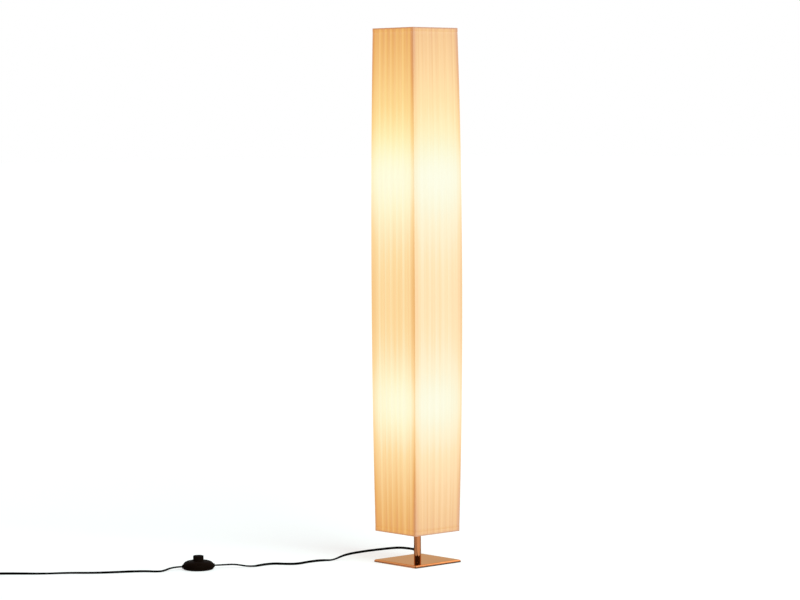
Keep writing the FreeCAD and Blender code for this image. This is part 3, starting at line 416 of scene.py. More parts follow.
# %% Foot button
button_outline = [(0, 0.0303), (0.004, 0.03035), (0.008, 0.0305), (0.0096, 0.0308), (0.0104, 0.0310),
                  (0.0110, 0.03085), (0.0115, 0.0304), (0.01175, 0.0297), (0.01175, 0.0292),
                  (0.0115, 0.0289), (0.0115, 0.0285), (0.01175, 0.0282), (0.01175, 0.0140),
                  (0.01355, 0.0140), (0.01355, 0.0120), (0, 0.0120)]
foot_button = turned("foot_button", button_outline, 96, (*switch_place, 0), sharp=40)

# %% [markdown]
# A short collar holds the flex on each side of the switch. Both are one ring section turned about the
# switch's own line, once for each side.

# %% Flex collars


def entry_collars(name):
    """Two short collars where the flex enters: a ring section carried round the flex's line."""
    a = np.linspace(0, 2 * np.pi, 40, endpoint=False)
    outline = np.array([(0.0300, 0.0046), (0.0355, 0.0046), (0.0361, 0.0044), (0.0365, 0.0039),
                        (0.0365, 0.00275), (0.0300, 0.00275)])
    along_axis, side = np.append(switch_line, 0), np.array([-switch_line[1], switch_line[0], 0])
    round_axis = np.cos(a)[:, None] * side + np.sin(a)[:, None] * np.array([0, 0, 1])
    rings, faces = [], []
    for sign in (1, -1):
        centre = np.array(by_switch(0, 0.0075)) + along_axis * sign * outline[:, 0][:, None]
        ring = centre[:, None] + outline[:, 1][:, None, None] * round_axis
        faces.append(grid_faces(len(outline), 40, True, True) + len(rings) * len(outline) * 40)
        rings.append(ring)
    return piece_from(name, np.array(rings), np.concatenate(faces))


collars = entry_collars("flex_collars")
for piece, body in ((switch_case, "stand"), (collars, "stand"), (foot_button, "button")):
    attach(piece, body)
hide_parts("switch_cover")
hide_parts("switch_button")

# %% [markdown]
# ## The free cords
# Both stretches of flex are free cords: whoever uses the lamp can lay them anew. The first runs from
# the stem to the switch, the second from the switch to the plug.

# %% [markdown]
# ## The foot
# The foot is a thin pressed plate, plated and polished, over a steel weight. Light runs along its
# upper edge because that edge is a slope of 45 degrees, softly rounded at both ends. A box with a
# Bevel modifier would come close, but the plate is hollow and open below. So it is one closed profile
# carried round a square with rounded corners, whose size is the profile's own reach.

# %% Foot plate


def round_square(half, corner, steps=8):
    """Outline of a square with round corners for each reach in an array: a row per reach.

    Corner k is an arc of the given radius about (half - corner) turned by k quarter turns."""
    turn = np.linspace(0, np.pi / 2, steps)
    x = (half - corner)[:, None] + corner[:, None] * np.cos(turn)
    y = (half - corner)[:, None] + corner[:, None] * np.sin(turn)
    quarter = [(x, y), (-y, x), (-x, -y), (y, -x)]
    return np.concatenate([q[0] for q in quarter], 1), np.concatenate([q[1] for q in quarter], 1)


def foot_plate(name):
    """The plate's section: out along the underside, round the edge, up the slope and in to the stem's hole.

    Each row is reach from the middle, height, and radius of the square's corners, in millimetres."""
    reach, height, corner = np.array([
        (5.05, 4.99, 5.05), (8.0, 4.99, 6.0), (40.0, 4.99, 2.2), (65.4, 4.99, 1.2), (68.95, 2.9, 2.0),
        (69.0, 0.3, 2.2), (69.6, 0.3, 2.7), (69.88, 0.38, 2.9), (70.0, 0.6, 3.0), (70.0, 3.2, 3.0),
        (69.92, 3.55, 2.95), (69.7, 3.85, 2.8), (68.15, 5.4, 2.0), (67.75, 5.7, 1.8), (67.25, 5.88, 1.6),
        (66.6, 5.98, 1.5), (65.7, 6.0, 1.4), (64.6, 6.0, 1.4), (40.0, 6.0, 2.2), (8.0, 6.0, 6.0),
        (5.05, 6.0, 5.05)]).T / 1000
    x, y = round_square(reach, corner)
    points = np.stack([x, y, np.broadcast_to(height[:, None], x.shape)], -1)
    return piece_from(name, points, grid_faces(len(reach), x.shape[1], True, True), sharp=28)


foot = foot_plate("foot_plate")
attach(foot, "stand")
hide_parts("base_cover")

# %% [markdown]
# ## The shade's cloth
# The shade is a strip of cream cloth pressed into upright knife pleats and wrapped round a wire frame.
# Seven pleats cross each side. Each one is a broad flat that leans out to a crest and then tucks back
# under it, so the cloth is single near the crease and lies double near the crest. The sides bow out a
# little towards the middle, as the cloth stands off the frame, and the wires keep the corners crisp.
# Cloth could be simulated, but this one is stretched, so its shape follows from its making.

# %% The shade's sizes
lower_edge, shade_height = 0.071, 1.129
shade_foot, shade_top = 0.0721, 1.1989  # the cloth itself, inside the bindings
pleats, pleat_depth, corner_cut = 7, 0.0013, 0.0006
chance = np.random.default_rng(11)


def half_side(z):
    """Half the shade's side: 67.2 mm at the ends and 5.2 mm more at half height, along a parabola."""
    s = (z - lower_edge) / shade_height
    return 0.0672 + 0.0052 * 4 * s * (1 - s)


def sway(z):
    """How far the column stands off upright, 1 mm along +X and +Y at half height, as in the picture."""
    s = (z - lower_edge) / shade_height
    return 0.0010 * 4 * s * (1 - s)


print("side at half height:", round(2 * half_side(lower_edge + shade_height / 2), 4), "m")

# %% [markdown]
# Each pleat is drawn with ten steps. A table says how deep the cloth lies at each step and how much
# light comes through it. A little seeded chance keeps any two pleats from being quite alike, which is
# what makes pressed cloth look real.

# %% The folds round the shade
# Steps across one pleat, how deep the cloth lies there, and how much light comes through.
phase = np.array([0.00, 0.06, 0.14, 0.24, 0.40, 0.56, 0.70, 0.78, 0.84, 0.92])
fold_depth = np.array([1.0, 0.94, 0.80, 0.66, 0.44, 0.22, 0.06, 0.00, 0.14, 0.62])
fold_light = np.array([0.97, 1.05, 1.08, 1.06, 1.00, 0.965, 0.955, 0.96, 0.925, 0.93])
# The +X side faces the daylight, which washes the streaks out there.
streak_strength = np.array([0.65, 1.0, 1.0, 1.0])


def girth_grid():
    """For each column of cloth: place along its side from -1 to 1, depth, light and side number.

    Crease n of a side is at (n + a little chance) / 7 of the run, so no two pleats are quite alike. Each side
    starts and ends on the wire, where the cloth is pulled nearly flat."""
    place, depth, light, side = [], [], [], []
    for k in range(4):
        edges = np.linspace(-1, 1, pleats + 1)
        edges[1:-1] += chance.uniform(-0.03, 0.03, pleats - 1)
        for n in range(pleats):
            place.append(edges[n] + (edges[n + 1] - edges[n]) * phase)
            depth.append(fold_depth * chance.uniform(0.75, 1.0))
            streak = (fold_light - 1) * chance.uniform(0.6, 1.25) + chance.uniform(-0.025, 0.025)
            light.append(1 + streak * streak_strength[k])
        depth[-pleats][0] = 0.12
        place.append(np.array([1.0]))
        depth.append(np.array([0.12]))
        light.append(np.array([0.97]))
        side.append(np.full(pleats * len(phase) + 1, k))
    return tuple(np.concatenate(values) for values in (place, depth, light, side))


def round_the_shade(out, slide, z):
    """Points from the distance of a face from the axis, the slide along the face, and the height.

    Side k is the +X side turned by k quarter turns, (out cos - slide sin, out sin + slide cos), and then
    the sway is added."""
    cosine, sine = np.cos(side * np.pi / 2), np.sin(side * np.pi / 2)
    z = np.broadcast_to(z, out.shape)
    return np.stack([out * cosine - slide * sine + sway(z), out * sine + slide * cosine + sway(z), z], -1)


place, depth, light, side = girth_grid()
columns = len(place)
print("columns of cloth:", columns)

# %% [markdown]
# ## The cloth itself
# The grid is ready: its columns are the folds and its rows are heights. The pleats wander a little as
# they go up, as pressed cloth does. The cloth gets its thickness from a Solidify modifier, because a
# wall of even thickness behind a folded surface is what that modifier is for.

# %% Cloth


def pleated_cloth(rows=72):
    """Grid of the cloth: row v up the height, column u round the girth.

    Face distance = half side - depth * 1.3 mm. Slide along the face = (half side - corner cut) * place,
    with a slow wander up the height of at most 0.4 mm, which dies out towards the wires."""
    z = np.linspace(shade_foot, shade_top, rows)[:, None]
    half = half_side(z)
    off_wire = np.clip((1 - np.abs(place)) * 4, 0, 1)
    wander = 0.0004 * np.sin(z * 9 + np.floor(place * 3.5 + side * 7) * 2.1) * off_wire
    return round_the_shade(half - depth * pleat_depth, (half - corner_cut) * place + wander, z)


cloth_points = pleated_cloth()
rows = len(cloth_points)
cloth = piece_from("shade_cloth", cloth_points, grid_faces(rows, columns, False, True),
                   outward=False, sharp=60)
girth = along(np.vstack([cloth_points[rows // 2], cloth_points[rows // 2][:1]]))
print("developed girth", round(girth[-1], 3), "m, height", round(shade_top - shade_foot, 3), "m")

# %% [markdown]
# The cloth needs its own coordinates, so that a streak follows a pleat. The map's first number is the
# distance round the girth and the second the height, both in metres. A value on each point says how
# much light comes through there: more where the cloth is single, less where it lies double.

# %% Cloth coordinates


def cloth_map(mesh, points):
    """Girth distance and height at each corner of each four-sided face, from the number of its point.

    Where a face joins the last column to the first, the first column counts as the far end of the girth."""
    number = np.empty(len(mesh.loops), int)
    mesh.loops.foreach_get("vertex_index", number)
    column = number.reshape(-1, 4) % columns
    u = np.where((column == 0) & (column.max(1, keepdims=True) == columns - 1), girth[-1], girth[column])
    v = points.reshape(-1, 3)[number, 2].reshape(-1, 4)
    mesh.uv_layers.new(name="cloth").data.foreach_set("uv", np.stack([u, v], -1).ravel())


def let_through(mesh, values):
    """The share of light that each point lets through, kept on the mesh."""
    share = mesh.attributes.new("light_through", "FLOAT", "POINT")
    share.data.foreach_set("value", np.asarray(values, np.float32).ravel())


cloth_map(cloth.data, cloth_points)
let_through(cloth.data, np.tile(light, rows))
wall = cloth.modifiers.new("cloth thickness", "SOLIDIFY")
wall.thickness, wall.offset = 0.0006, -1
print("light let through:", round(light.min(), 2), "to", round(light.max(), 2))

# %% [markdown]
# ## Hems and seam tape
# Each end of the shade is bound with a folded strip of the same cloth that grips the wire ring. The
# strip is a thin folded profile, outside band, rounded rim, inside lip, carried round the shade. Its
# band hugs the pleats so closely that only the darker rim shows, where the cloth lies fourfold. The
# cloth's two ends meet beside the front corner, over a tape.

# %% Bindings


def hem(name, edge, direction):
    """A folded strip. Each row of its profile is reach outwards and drop from the edge in millimetres, how
    far it follows the pleats under it, and the light that comes through."""
    reach, drop, follow, through = np.array([
        (67.38, 9.0, 1.0, 1.0), (67.50, 8.8, 1.0, 1.0), (67.48, 5.8, 1.0, 1.0), (67.47, 5.2, 1.0, 0.97),
        (67.46, 4.6, 1.0, 1.0), (67.44, 2.9, 0.9, 0.98), (67.43, 2.3, 0.8, 0.70), (67.42, 1.3, 0.6, 0.58),
        (67.36, 0.45, 0.4, 0.52), (67.1, 0.05, 0.1, 0.50), (66.4, 0.0, 0, 0.55),
        (62.0, 0.0, 0, 0.6), (61.2, 0.10, 0, 0.6), (60.8, 0.45, 0, 0.6), (61.2, 0.80, 0, 0.7),
        (66.3, 0.80, 0.1, 0.7), (66.9, 1.3, 0.5, 0.8), (67.15, 5.0, 1.0, 0.9),
        (67.2, 9.0, 1.0, 0.9)]).T[..., None]
    out = reach / 1000 - follow * depth * pleat_depth
    points = round_the_shade(out, (reach / 1000 - corner_cut) * place, edge - direction * drop / 1000)
    piece = piece_from(name, points, grid_faces(len(reach), columns, True, True), sharp=60)
    cloth_map(piece.data, points)
    let_through(piece.data, through * light)
    return piece


top_binding = hem("top_binding", 1.2, 1)
foot_binding = hem("foot_binding", lower_edge, -1)

# %% [markdown]
# The tape is a flat strip 20 mm wide that follows the bow of its side. The cloth hides it. It is held
# by the cloth and the bindings, all stretched on the wire frame, and all four ride on the shade's body.
# Its place is the imported model's: behind that model's thicker cloth, and clear of the corner's wire.

# %% Seam tape
tape_width, tape_thickness = 0.020, 0.0006
model_half, model_bow = 0.067, 0.0054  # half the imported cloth's side at its ends, and its bow
cloth_span, soft_gap = 0.0022, 0.0003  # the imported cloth's thickness, and the gap behind it
ring_wire, corner_wire, wire_gap = 0.0035, 0.0030, 0.0015


def tape_behind(name, rows=24):
    """A flat strip behind the cloth, from 6.6 mm above its lower edge to 5.6 mm under its upper one."""
    z = np.linspace(lower_edge + 0.0066, lower_edge + shade_height - 0.0056, rows)
    s = (z - lower_edge) / shade_height
    half = model_half + model_bow * 4 * s * (1 - s)
    front = -(half - cloth_span - soft_gap)
    back = front + tape_thickness
    right = half - cloth_span - ring_wire - corner_wire - wire_gap
    left, middle = right - tape_width, right - tape_width / 2
    loop = [(left, back), (left, front), (middle, front), (right, front), (right, back), (middle, back)]
    points = np.stack([np.stack([x, y, z], -1) for x, y in loop], 1)
    ends = [range(len(loop)), range(len(loop) * (rows - 1), len(loop) * rows)]
    piece = piece_from(name, points, grid_faces(rows, len(loop), False, True), ends)
    let_through(piece.data, np.full(rows * len(loop), 0.8))
    return piece


tape = tape_behind("seam_strip")
for piece, node in ((cloth, "shade_cover"), (top_binding, "top_hem"), (foot_binding, "bottom_hem"),
                    (tape, "seam_tape")):
    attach(piece, "shade")
    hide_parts(node)

# %% [markdown]
# ## Finishes: the helpers
# Every finish is a small network of nodes round one shader. It could be wired by hand in the editor,
# but a script says the same thing each time. The helpers add a node with its settings and join two
# sockets. Patterns use the piece's own coordinates, so they stay put on it.

# %% Nodes and wires


def new_finish(name):
    """An empty finish: the material, its node tree and its main shader."""
    finish = bpy.data.materials.new(name)
    finish.use_nodes = True
    return finish, finish.node_tree, finish.node_tree.nodes["Principled BSDF"]


def add(tree, kind, values=(), **settings):
    """A node with its settings, and the values of its input sockets by name or number."""
    node = tree.nodes.new(kind)
    for key, value in settings.items():
        setattr(node, key, value)
    for key, value in dict(values).items():
        node.inputs[key].default_value = value
    return node


def join(tree, source, target, socket, output=0):
    """Wire a node's output to another node's input."""
    tree.links.new(source.outputs[output], target.inputs[socket])


def value(tree, operation, first, second=None, third=None):
    """Arithmetic on nodes and numbers. A node may come with an output: (node, output)."""
    result = add(tree, "ShaderNodeMath", operation=operation)
    for socket, term in enumerate((first, second, third)):
        if isinstance(term, tuple):
            join(tree, term[0], result, socket, term[1])
        elif isinstance(term, bpy.types.Node):
            join(tree, term, result, socket)
        elif term is not None:
            result.inputs[socket].default_value = term
    return result


print("node helpers ready")

# %% [markdown]
# Patterns come next: a noise in the piece's own coordinates, a ramp of colours along a value, a value
# stretched to another range, and a value read as height for fine relief.

# %% Patterns, colours and relief


def grain(tree, stretch, detail=3.0, scale=1.0, coordinates="Object", roughness=0.5):
    """A noise pattern in the piece's own coordinates, stretched by a scale along each axis."""
    place = add(tree, "ShaderNodeTexCoord")
    mapping = add(tree, "ShaderNodeMapping", {"Scale": stretch})
    noise = add(tree, "ShaderNodeTexNoise", {"Scale": scale, "Detail": detail, "Roughness": roughness})
    join(tree, place, mapping, "Vector", coordinates)
    join(tree, mapping, noise, "Vector")
    return noise


def colours(tree, source, stops):
    """A colour ramp: (position, red, green, blue) stops along a value."""
    ramp = add(tree, "ShaderNodeValToRGB")
    for k, (position, *colour) in enumerate(stops):
        stop = ramp.color_ramp.elements[k] if k < 2 else ramp.color_ramp.elements.new(position)
        stop.position, stop.color = position, (*colour, 1)
    join(tree, source, ramp, "Fac")
    return ramp


def spread(tree, source, low, high, first=0.3, last=0.7, smooth=False, output=0):
    """A value stretched from one range to another."""
    mapped = add(tree, "ShaderNodeMapRange",
                 {"From Min": first, "From Max": last, "To Min": low, "To Max": high})
    if smooth:
        mapped.interpolation_type = "SMOOTHSTEP"
    join(tree, source, mapped, "Value", output)
    return mapped


def relief(tree, shader, source, height, strength=1.0):
    """Fine relief: a value read as height in metres."""
    bump = add(tree, "ShaderNodeBump", {"Strength": strength, "Distance": height})
    join(tree, source, bump, "Height")
    join(tree, bump, shader, "Normal")


print("pattern helpers ready")

# %% [markdown]
# Most finishes need the same four things: two tones of one colour, a gloss that varies with them, and
# a fine relief. One function makes them all, so a finish is one line of numbers.

# %% A worked finish


def worked(name, dark, light, gloss, stretch, height=0.0, metal=0.0, detail=3.0, coat=0.0, shine=0.5):
    """A general worked finish: colour between two tones, roughness between two values, and a fine relief."""
    finish, tree, shader = new_finish(name)
    pattern = grain(tree, stretch, detail)
    join(tree, colours(tree, pattern, [(0.3, *dark), (0.7, *light)]), shader, "Base Color")
    join(tree, spread(tree, pattern, *gloss), shader, "Roughness")
    shader.inputs["Metallic"].default_value = metal
    shader.inputs["Coat Weight"].default_value = coat
    shader.inputs["Specular IOR Level"].default_value = shine
    if height:
        relief(tree, shader, grain(tree, tuple(s * 3 for s in stretch), 2.0), height)
    return finish


print("finish maker ready")

# %% [markdown]
# ## Finishes: the metals
# The foot and stem carry a polished rose-gold plating. Polish is never perfect: faint wipe marks make
# its roughness vary. At a glancing angle a plated surface keeps its tint, which the specular tint says.
# The hidden ladder is zinc-plated steel, the bushes are brass, the frame is white coated wire.

# %% Metal finishes
finishes = {}
finish, tree, shader = new_finish("rose_plating")
wipe = grain(tree, (14, 14, 60), 4.0)
join(tree, colours(tree, wipe, [(0.3, 0.65, 0.252, 0.094), (0.7, 0.73, 0.283, 0.110)]), shader, "Base Color")
join(tree, spread(tree, wipe, 0.045, 0.10), shader, "Roughness")
shader.inputs["Metallic"].default_value = 1.0
shader.inputs["Specular Tint"].default_value = (0.69, 0.525, 0.315, 1)
relief(tree, shader, grain(tree, (90, 90, 300), 2.0), 0.000006)
finishes["rose_plating"] = finish

finishes["zinc_steel"] = worked("zinc_steel", (0.50, 0.51, 0.53), (0.68, 0.69, 0.71), (0.25, 0.42),
                                (90, 90, 90), 0.00002, metal=1.0)
finishes["steel_plate"] = worked("steel_plate", (0.30, 0.30, 0.31), (0.46, 0.46, 0.47), (0.35, 0.55),
                                 (40, 200, 40), 0.00003, metal=1.0)
finishes["brass"] = worked("brass", (0.62, 0.45, 0.18), (0.80, 0.63, 0.30), (0.20, 0.38),
                           (120, 120, 40), 0.00001, metal=1.0)
finishes["pin_metal"] = worked("pin_metal", (0.66, 0.64, 0.58), (0.82, 0.80, 0.74), (0.15, 0.30),
                               (150, 150, 150), 0.00001, metal=1.0)
finishes["lamp_cap"] = worked("lamp_cap", (0.62, 0.62, 0.61), (0.80, 0.80, 0.79), (0.20, 0.35),
                              (60, 60, 500), 0.00002, metal=1.0)
finishes["lamp_core"] = worked("lamp_core", (0.80, 0.80, 0.77), (0.90, 0.90, 0.88), (0.35, 0.50),
                               (80, 80, 80), 0.00002)
finishes["frame_white"] = worked("frame_white", (0.78, 0.76, 0.71), (0.88, 0.87, 0.83), (0.30, 0.45),
                                 (60, 60, 60), 0.00003, coat=0.2)
print("metals and coated wire:", len(finishes))

# %% [markdown]
# ## Finishes: plastics, rubber, felt and ceramic
# Black plastic isn't black: it is a very dark grey, slightly warm, whose surface scatters a soft
# highlight. The switch has a fine moulded grain, the flex is smoother, the sole is dull rubber. Their
# shine is set low, because matt soft plastic hardly mirrors the room even at a flat angle.

# %% Plastic finishes
finishes["black_plastic"] = worked("black_plastic", (0.0042, 0.0018, 0.0011), (0.0092, 0.0042, 0.0024),
                                   (0.55, 0.72), (500, 500, 500), 0.00004, shine=0.012)
finishes["flex_pvc"] = worked("flex_pvc", (0.0014, 0.0011, 0.0010), (0.0040, 0.0030, 0.0028),
                              (0.55, 0.70), (160, 160, 160), 0.00003, shine=0.010)
finishes["holder_plastic"] = worked("holder_plastic", (0.018, 0.017, 0.016), (0.032, 0.030, 0.028),
                                    (0.18, 0.30), (70, 70, 70), 0.00002, coat=0.3)
finishes["terminal_plastic"] = worked("terminal_plastic", (0.76, 0.76, 0.72), (0.86, 0.86, 0.82),
                                      (0.35, 0.5), (120, 120, 120), 0.00002)
finishes["switch_rubber"] = worked("switch_rubber", (0.018, 0.018, 0.018), (0.034, 0.033, 0.033),
                                   (0.65, 0.85), (400, 400, 400), 0.00008, shine=0.2)
finishes["felt"] = worked("felt", (0.035, 0.035, 0.036), (0.085, 0.084, 0.086), (0.85, 0.98),
                          (1500, 1500, 1500), 0.00015, detail=5, shine=0.1)
finishes["holder_ceramic"] = worked("holder_ceramic", (0.80, 0.79, 0.75), (0.90, 0.89, 0.86),
                                    (0.45, 0.65), (300, 300, 300), 0.00004)
print("with plastics, rubber, felt and ceramic:", len(finishes))

# %% [markdown]
# ## Finishes: the lit cloth
# With the lamps on, the cloth is seen by the light that comes through it. Real light could be traced
# through the cloth from the two globes, but the grain of that light costs far more than it shows. The
# shader gives off the light instead. Light from each globe falls off with distance d as
# (61 mm / d)^0.72, slower than in the open because it bounces about in the column, and the distance
# across the column counts three quarters. Thin light comes out deep orange, strong light nearly white.

# %% Light in the column
globe_places = ((0.012, -0.012, 0.363), (0, 0, 0.872))
globe_strengths = (0.765, 1.039)


def column_light(tree):
    """Brightness at a point: 0.064 and the sum over the globes of strength * (0.0614 / distance)^0.72."""
    place = add(tree, "ShaderNodeTexCoord")
    squeezed = add(tree, "ShaderNodeMapping", {"Scale": (0.76, 0.76, 1)})
    join(tree, place, squeezed, "Vector", "Object")
    shares = []
    for (x, y, z), strength in zip(globe_places, globe_strengths):
        reach = add(tree, "ShaderNodeVectorMath", {1: (x * 0.76, y * 0.76, z)}, operation="DISTANCE")
        join(tree, squeezed, reach, 0)
        fall = value(tree, "POWER", value(tree, "DIVIDE", 0.0614, (reach, "Value")), 0.72)
        shares.append(value(tree, "MULTIPLY_ADD", fall, strength, 0.032))
    return value(tree, "ADD", *shares)


print("hot spots at heights", [place[2] for place in globe_places])

# %% [markdown]
# A photograph shows strong light through cream cloth as nearly white and weak light as orange. A table
# of eleven colours says which brightness gives which. The upper end of the shade is a deeper orange
# than the lower, and the +X side is mixed with daylight, so both get a correction.

# %% From brightness to colour
# Brightness, and the red, green and blue that the cloth gives off at it.
glow_table = [(0.34, 0.52, 0.165, 0.0), (0.45, 0.70, 0.272, 0.0), (0.50, 0.768, 0.368, 0.042),
              (0.55, 0.822, 0.438, 0.096), (0.62, 0.875, 0.528, 0.170), (0.70, 0.898, 0.595, 0.222),
              (0.80, 0.903, 0.688, 0.345), (0.89, 0.905, 0.750, 0.410), (1.00, 0.905, 0.803, 0.480),
              (1.10, 0.905, 0.832, 0.527), (1.31, 0.908, 0.860, 0.588)]


def glowing(tree, shader, brightness):
    """Sets what the shader gives off from a brightness, through the table from orange to near white.

    Above 0.86 m the light turns more orange: blue falls to 0.70 of the table by 1.00 m. On the +X side,
    which the daylight also brightens, strong light from inside counts for up to 0.10 to 0.14 less, because
    a camera holds strong light back where the plain view transform would clip it."""
    low, high = glow_table[0][0], glow_table[-1][0]
    level = spread(tree, brightness, 0.0, 1.0, low, high)
    stops = [((b - low) / (high - low), *colour) for b, *colour in glow_table]
    place = add(tree, "ShaderNodeTexCoord")
    parts = add(tree, "ShaderNodeSeparateXYZ")
    join(tree, place, parts, 0, "Object")
    orange = spread(tree, parts, 0.0, 1.0, 0.86, 1.00, smooth=True, output=2)
    tinted = add(tree, "ShaderNodeMix", data_type="RGBA", blend_type="MULTIPLY")
    tinted.inputs[7].default_value = (1, 0.975, 0.70, 1)
    join(tree, orange, tinted, 0)
    join(tree, colours(tree, level, stops), tinted, 6)
    facing = value(tree, "GREATER_THAN", (parts, 0), value(tree, "ABSOLUTE", (parts, 1)))
    held = add(tree, "ShaderNodeMix", data_type="RGBA", blend_type="MULTIPLY")
    held.inputs[7].default_value = (0.90, 0.86, 0.88, 1)
    join(tree, value(tree, "MULTIPLY", facing, spread(tree, brightness, 0.15, 1.0, 0.50, 0.98)), held, 0)
    join(tree, tinted, held, 6, 2)
    join(tree, held, shader, "Emission Color", 2)
    shader.inputs["Emission Strength"].default_value = 1.0


print("colours in the table:", len(glow_table))

# %% [markdown]
# Just inside each corner stands a wire that takes some of the light away. Its shadow on the cloth is
# narrow at the ends, where the cloth touches it, and wider half way up, where the cloth stands off.

# %% Shadows of the wires


def wire_shadows(tree, depth):
    """1 on the flat of a side, and 1 - depth at its corner.

    Distance from the corner = larger of |x|, |y| less the smaller. The shadow's width grows from 12 to
    24 mm as the larger one grows from 67 to 72 mm with the bow of the side."""
    place = add(tree, "ShaderNodeTexCoord")
    parts = add(tree, "ShaderNodeSeparateXYZ")
    join(tree, place, parts, 0, "Object")
    x, y = (value(tree, "ABSOLUTE", (parts, axis)) for axis in (0, 1))
    larger, smaller = value(tree, "MAXIMUM", x, y), value(tree, "MINIMUM", x, y)
    width = spread(tree, larger, 0.012, 0.024, 0.067, 0.072)
    share = value(tree, "DIVIDE", value(tree, "SUBTRACT", larger, smaller), width)
    return spread(tree, share, 1 - depth, 1.0, 0.0, 1.0, smooth=True)


print("wire shadows ready")

# %% [markdown]
# The pleats show in the light as upright streaks: brighter flats, darker tucks, and a finer crinkle in
# the cloth. A crinkle that runs far up and hardly across is a noise stretched 200 times along the
# pleats. The weave is a second, finer one. The cloth's base colour is a dark cool grey, not the cream
# of the real cloth: it paints the weak, cool daylight on the outside of the shade.

# %% The cloth's finish


def lit_cloth(name, dark, light, wire_depth):
    """The lit cloth: light of the column, less the wires' shadows, by pleat, with a crinkle and a weave."""
    finish, tree, shader = new_finish(name)
    brightness = value(tree, "MULTIPLY", column_light(tree), wire_shadows(tree, wire_depth))
    pleat_light = add(tree, "ShaderNodeAttribute", attribute_name="light_through")
    brightness = value(tree, "MULTIPLY", brightness, (pleat_light, "Fac"))
    crinkle = grain(tree, (260, 1.1, 1), 3.0, coordinates="UV", roughness=0.6)
    brightness = value(tree, "MULTIPLY", brightness, spread(tree, crinkle, 0.955, 1.045))
    thread = grain(tree, (2600, 5, 1), 1.0, coordinates="UV")
    brightness = value(tree, "MULTIPLY", brightness, spread(tree, thread, 0.985, 1.015))
    glowing(tree, shader, brightness)
    join(tree, colours(tree, crinkle, [(0.3, *dark), (0.7, *light)]), shader, "Base Color")
    shader.inputs["Roughness"].default_value = 0.85
    shader.inputs["Specular IOR Level"].default_value = 0.2
    relief(tree, shader, crinkle, 0.0003, 0.5)
    return finish


# Base tones: a dark cool grey that paints the weak, cool daylight on the shade's outside; the real cloth is
# cream.
finishes["shade_cloth"] = lit_cloth("shade_cloth", (0.155, 0.185, 0.215), (0.185, 0.215, 0.245), 0.22)
finishes["shade_hem"] = lit_cloth("shade_hem", (0.150, 0.178, 0.205), (0.180, 0.208, 0.235), 0.20)
print("with the lit cloth:", len(finishes))

# %% [markdown]
# The globes are opal glass, lit from inside, with a faint cloud in it. Glass could be made to scatter
# the light of a lamp within, but from outside an even glow looks the same.

# %% The globes' finish
finish, tree, shader = new_finish("opal_glass")
cloud = grain(tree, (40, 40, 40), 2.0)
join(tree, colours(tree, cloud, [(0.3, 1.0, 0.86, 0.62), (0.7, 1.0, 0.92, 0.74)]), shader, "Emission Color")
shader.inputs["Emission Strength"].default_value = 1.6
join(tree, colours(tree, cloud, [(0.3, 0.80, 0.78, 0.72), (0.7, 0.86, 0.84, 0.78)]), shader, "Base Color")
shader.inputs["Roughness"].default_value = 0.2
finishes["opal_glass"] = finish
print("all finishes:", len(finishes))

# %% [markdown]
# ## Putting the finishes on
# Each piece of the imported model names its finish, and so does each new piece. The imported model's
# pieces keep their shape: only the material in their slot is exchanged.

# %% Assign
new_pieces = {flex_to_switch: "flex_pvc", flex_to_plug: "flex_pvc", plug: "flex_pvc", tie: "black_plastic",
              switch_case: "black_plastic", foot_button: "black_plastic", collars: "black_plastic",
              foot: "rose_plating", cloth: "shade_cloth", top_binding: "shade_hem", foot_binding: "shade_hem",
              tape: "shade_hem"}
for piece, name in new_pieces.items():
    piece.data.materials.append(finishes[name])
for name, node in nodes.items():
    for holder in node.material_slots:
        holder.material = finishes[slots[name]]
print("new pieces dressed:", len(new_pieces))

# %% [markdown]
# ## Floor, background and light
# The picture has a plain white ground. The floor is pale and takes the lamp's soft shadow. For the
# camera it adds enough of its own light to read as white. For the metal's reflections only, it is painted
# brighter to the right than to the left, and a strip beside the foot is painted dark. That painted
# reflection, with no card or other thing there, draws the dark line under the foot's right edge.

# %% Floor
floor_mesh = bpy.data.meshes.new("studio_floor")
corners = [(-60, -60, -0.0004), (60, -60, -0.0004), (60, 60, -0.0004), (-60, 60, -0.0004)]
floor_mesh.from_pydata(corners, [], [(0, 1, 2, 3)])
floor = bpy.data.objects.new("studio_floor", floor_mesh)
bpy.context.collection.objects.link(floor)
finish, tree, shader = new_finish("studio_floor")
rays = add(tree, "ShaderNodeLightPath")
where = add(tree, "ShaderNodeTexCoord")
heading_out = add(tree, "ShaderNodeVectorMath", operation="NORMALIZE")
join(tree, where, heading_out, 0, "Object")
sideways = add(tree, "ShaderNodeVectorMath", {1: (0.995, -0.10, 0)}, operation="DOT_PRODUCT")
join(tree, heading_out, sideways, 0)
parts = add(tree, "ShaderNodeSeparateXYZ")
join(tree, where, parts, 0, "Object")
# A strip of floor beside the foot's right edge, painted dark for reflections only: a painted reflection.
dark_strip_middle, dark_strip_half, dark_strip_edge = 0.085, 0.014, 0.022
from_dark_strip = value(tree, "ABSOLUTE", value(tree, "SUBTRACT", (parts, 0), dark_strip_middle))
painted_dark_strip = spread(tree, from_dark_strip, 1.0, 0.0, dark_strip_half, dark_strip_edge)
mirror_light = value(tree, "MULTIPLY", spread(tree, sideways, 0.36, 0.90, -0.7, 1.0, output="Value"),
                     value(tree, "SUBTRACT", 1.0, painted_dark_strip))
seen = value(tree, "MAXIMUM", value(tree, "MULTIPLY", (rays, "Is Camera Ray"), 0.60),
             value(tree, "MULTIPLY", (rays, "Is Glossy Ray"), mirror_light))
join(tree, seen, shader, "Emission Strength")
join(tree, value(tree, "MULTIPLY_ADD", (rays, "Is Glossy Ray"), -0.5, 0.5), shader, "Base Color")
shader.inputs["Roughness"].default_value = 1.0
shader.inputs["Specular IOR Level"].default_value = 0.0
shader.inputs["Emission Color"].default_value = (1, 1, 1, 1)
finish.cycles.emission_sampling = "NONE"
floor.data.materials.append(finish)
print("floor ready")

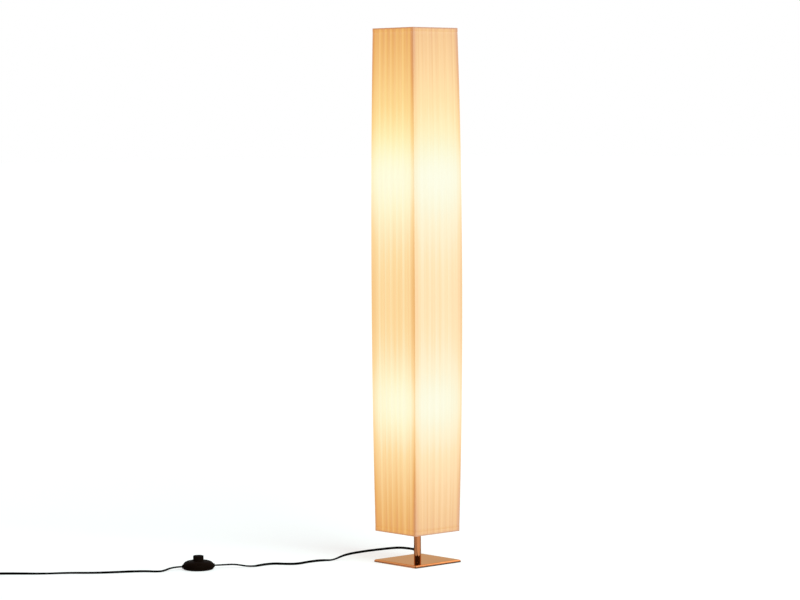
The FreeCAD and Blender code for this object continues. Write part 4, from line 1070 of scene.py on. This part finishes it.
# %% [markdown]
# ## The room and its light
# A broad low sun from the right lights the right side of the shade, and the sky lights everything
# softly. Polished metal shows the room. Behind the lamp the room is a white backdrop, overhead it is
# brighter on the right than on the left, and behind the camera it is dim. That dim side is what draws
# the dark lines down the foot of the stem. It only shows in reflections: the sky lights everything evenly.

# %% The room
world = bpy.data.worlds.new("studio")
bpy.context.scene.world = world
world.use_nodes = True
tree = world.node_tree
sky = tree.nodes["Background"]
look = add(tree, "ShaderNodeTexCoord")
parts = add(tree, "ShaderNodeSeparateXYZ")
join(tree, look, parts, 0, "Generated")


def towards(direction):
    """How far a direction of the sky points towards a given one, from -1 to 1."""
    dot = add(tree, "ShaderNodeVectorMath", {1: direction}, operation="DOT_PRODUCT")
    join(tree, look, dot, 0, "Generated")
    return dot


dim_side = spread(tree, towards((0.738, -0.674, 0)), 1.0, 0.06, -0.40, 0.15, smooth=True, output="Value")
overhead = spread(tree, towards((0.674, 0.738, 0)), 0.95, 1.70, -0.45, 0.45, output="Value")
high = spread(tree, parts, 0.0, 1.0, 0.35, 0.60, smooth=True, output=2)
ceiling = value(tree, "MULTIPLY_ADD", high, value(tree, "SUBTRACT", overhead, 1.0), 1.0)
room = value(tree, "MULTIPLY", dim_side, ceiling)
rays = add(tree, "ShaderNodeLightPath")
direct = value(tree, "MAXIMUM", (rays, "Is Camera Ray"), (rays, "Is Transmission Ray"))
mirrored = value(tree, "MULTIPLY", (rays, "Is Glossy Ray"), value(tree, "SUBTRACT", room, 0.5))
soft = value(tree, "ADD", mirrored, 0.5)
join(tree, value(tree, "MULTIPLY_ADD", direct, value(tree, "SUBTRACT", 1.0, soft), soft), sky, "Strength")
sky.inputs["Color"].default_value = (1, 1, 1, 1)

print("room ready")

# %% [markdown]
# The sun is soft, 40 degrees across, as daylight through a wide window. Its colour leaves out some red,
# because the cloth that it falls on already glows red to the limit.

# %% The sun
sun_lamp = bpy.data.lights.new("low_sun", "SUN")
sun_lamp.energy, sun_lamp.angle = 2.6, math.radians(40)
sun_lamp.color = (0.74, 1.0, 0.98)
sun = bpy.data.objects.new("low_sun", sun_lamp)
sun.rotation_euler = Vector((0.85, -0.05, 0.52)).to_track_quat("Z", "Y").to_euler()
bpy.context.collection.objects.link(sun)

bpy.context.scene.view_settings.view_transform = "Standard"
print("sun from", [round(v, 2) for v in sun.rotation_euler])
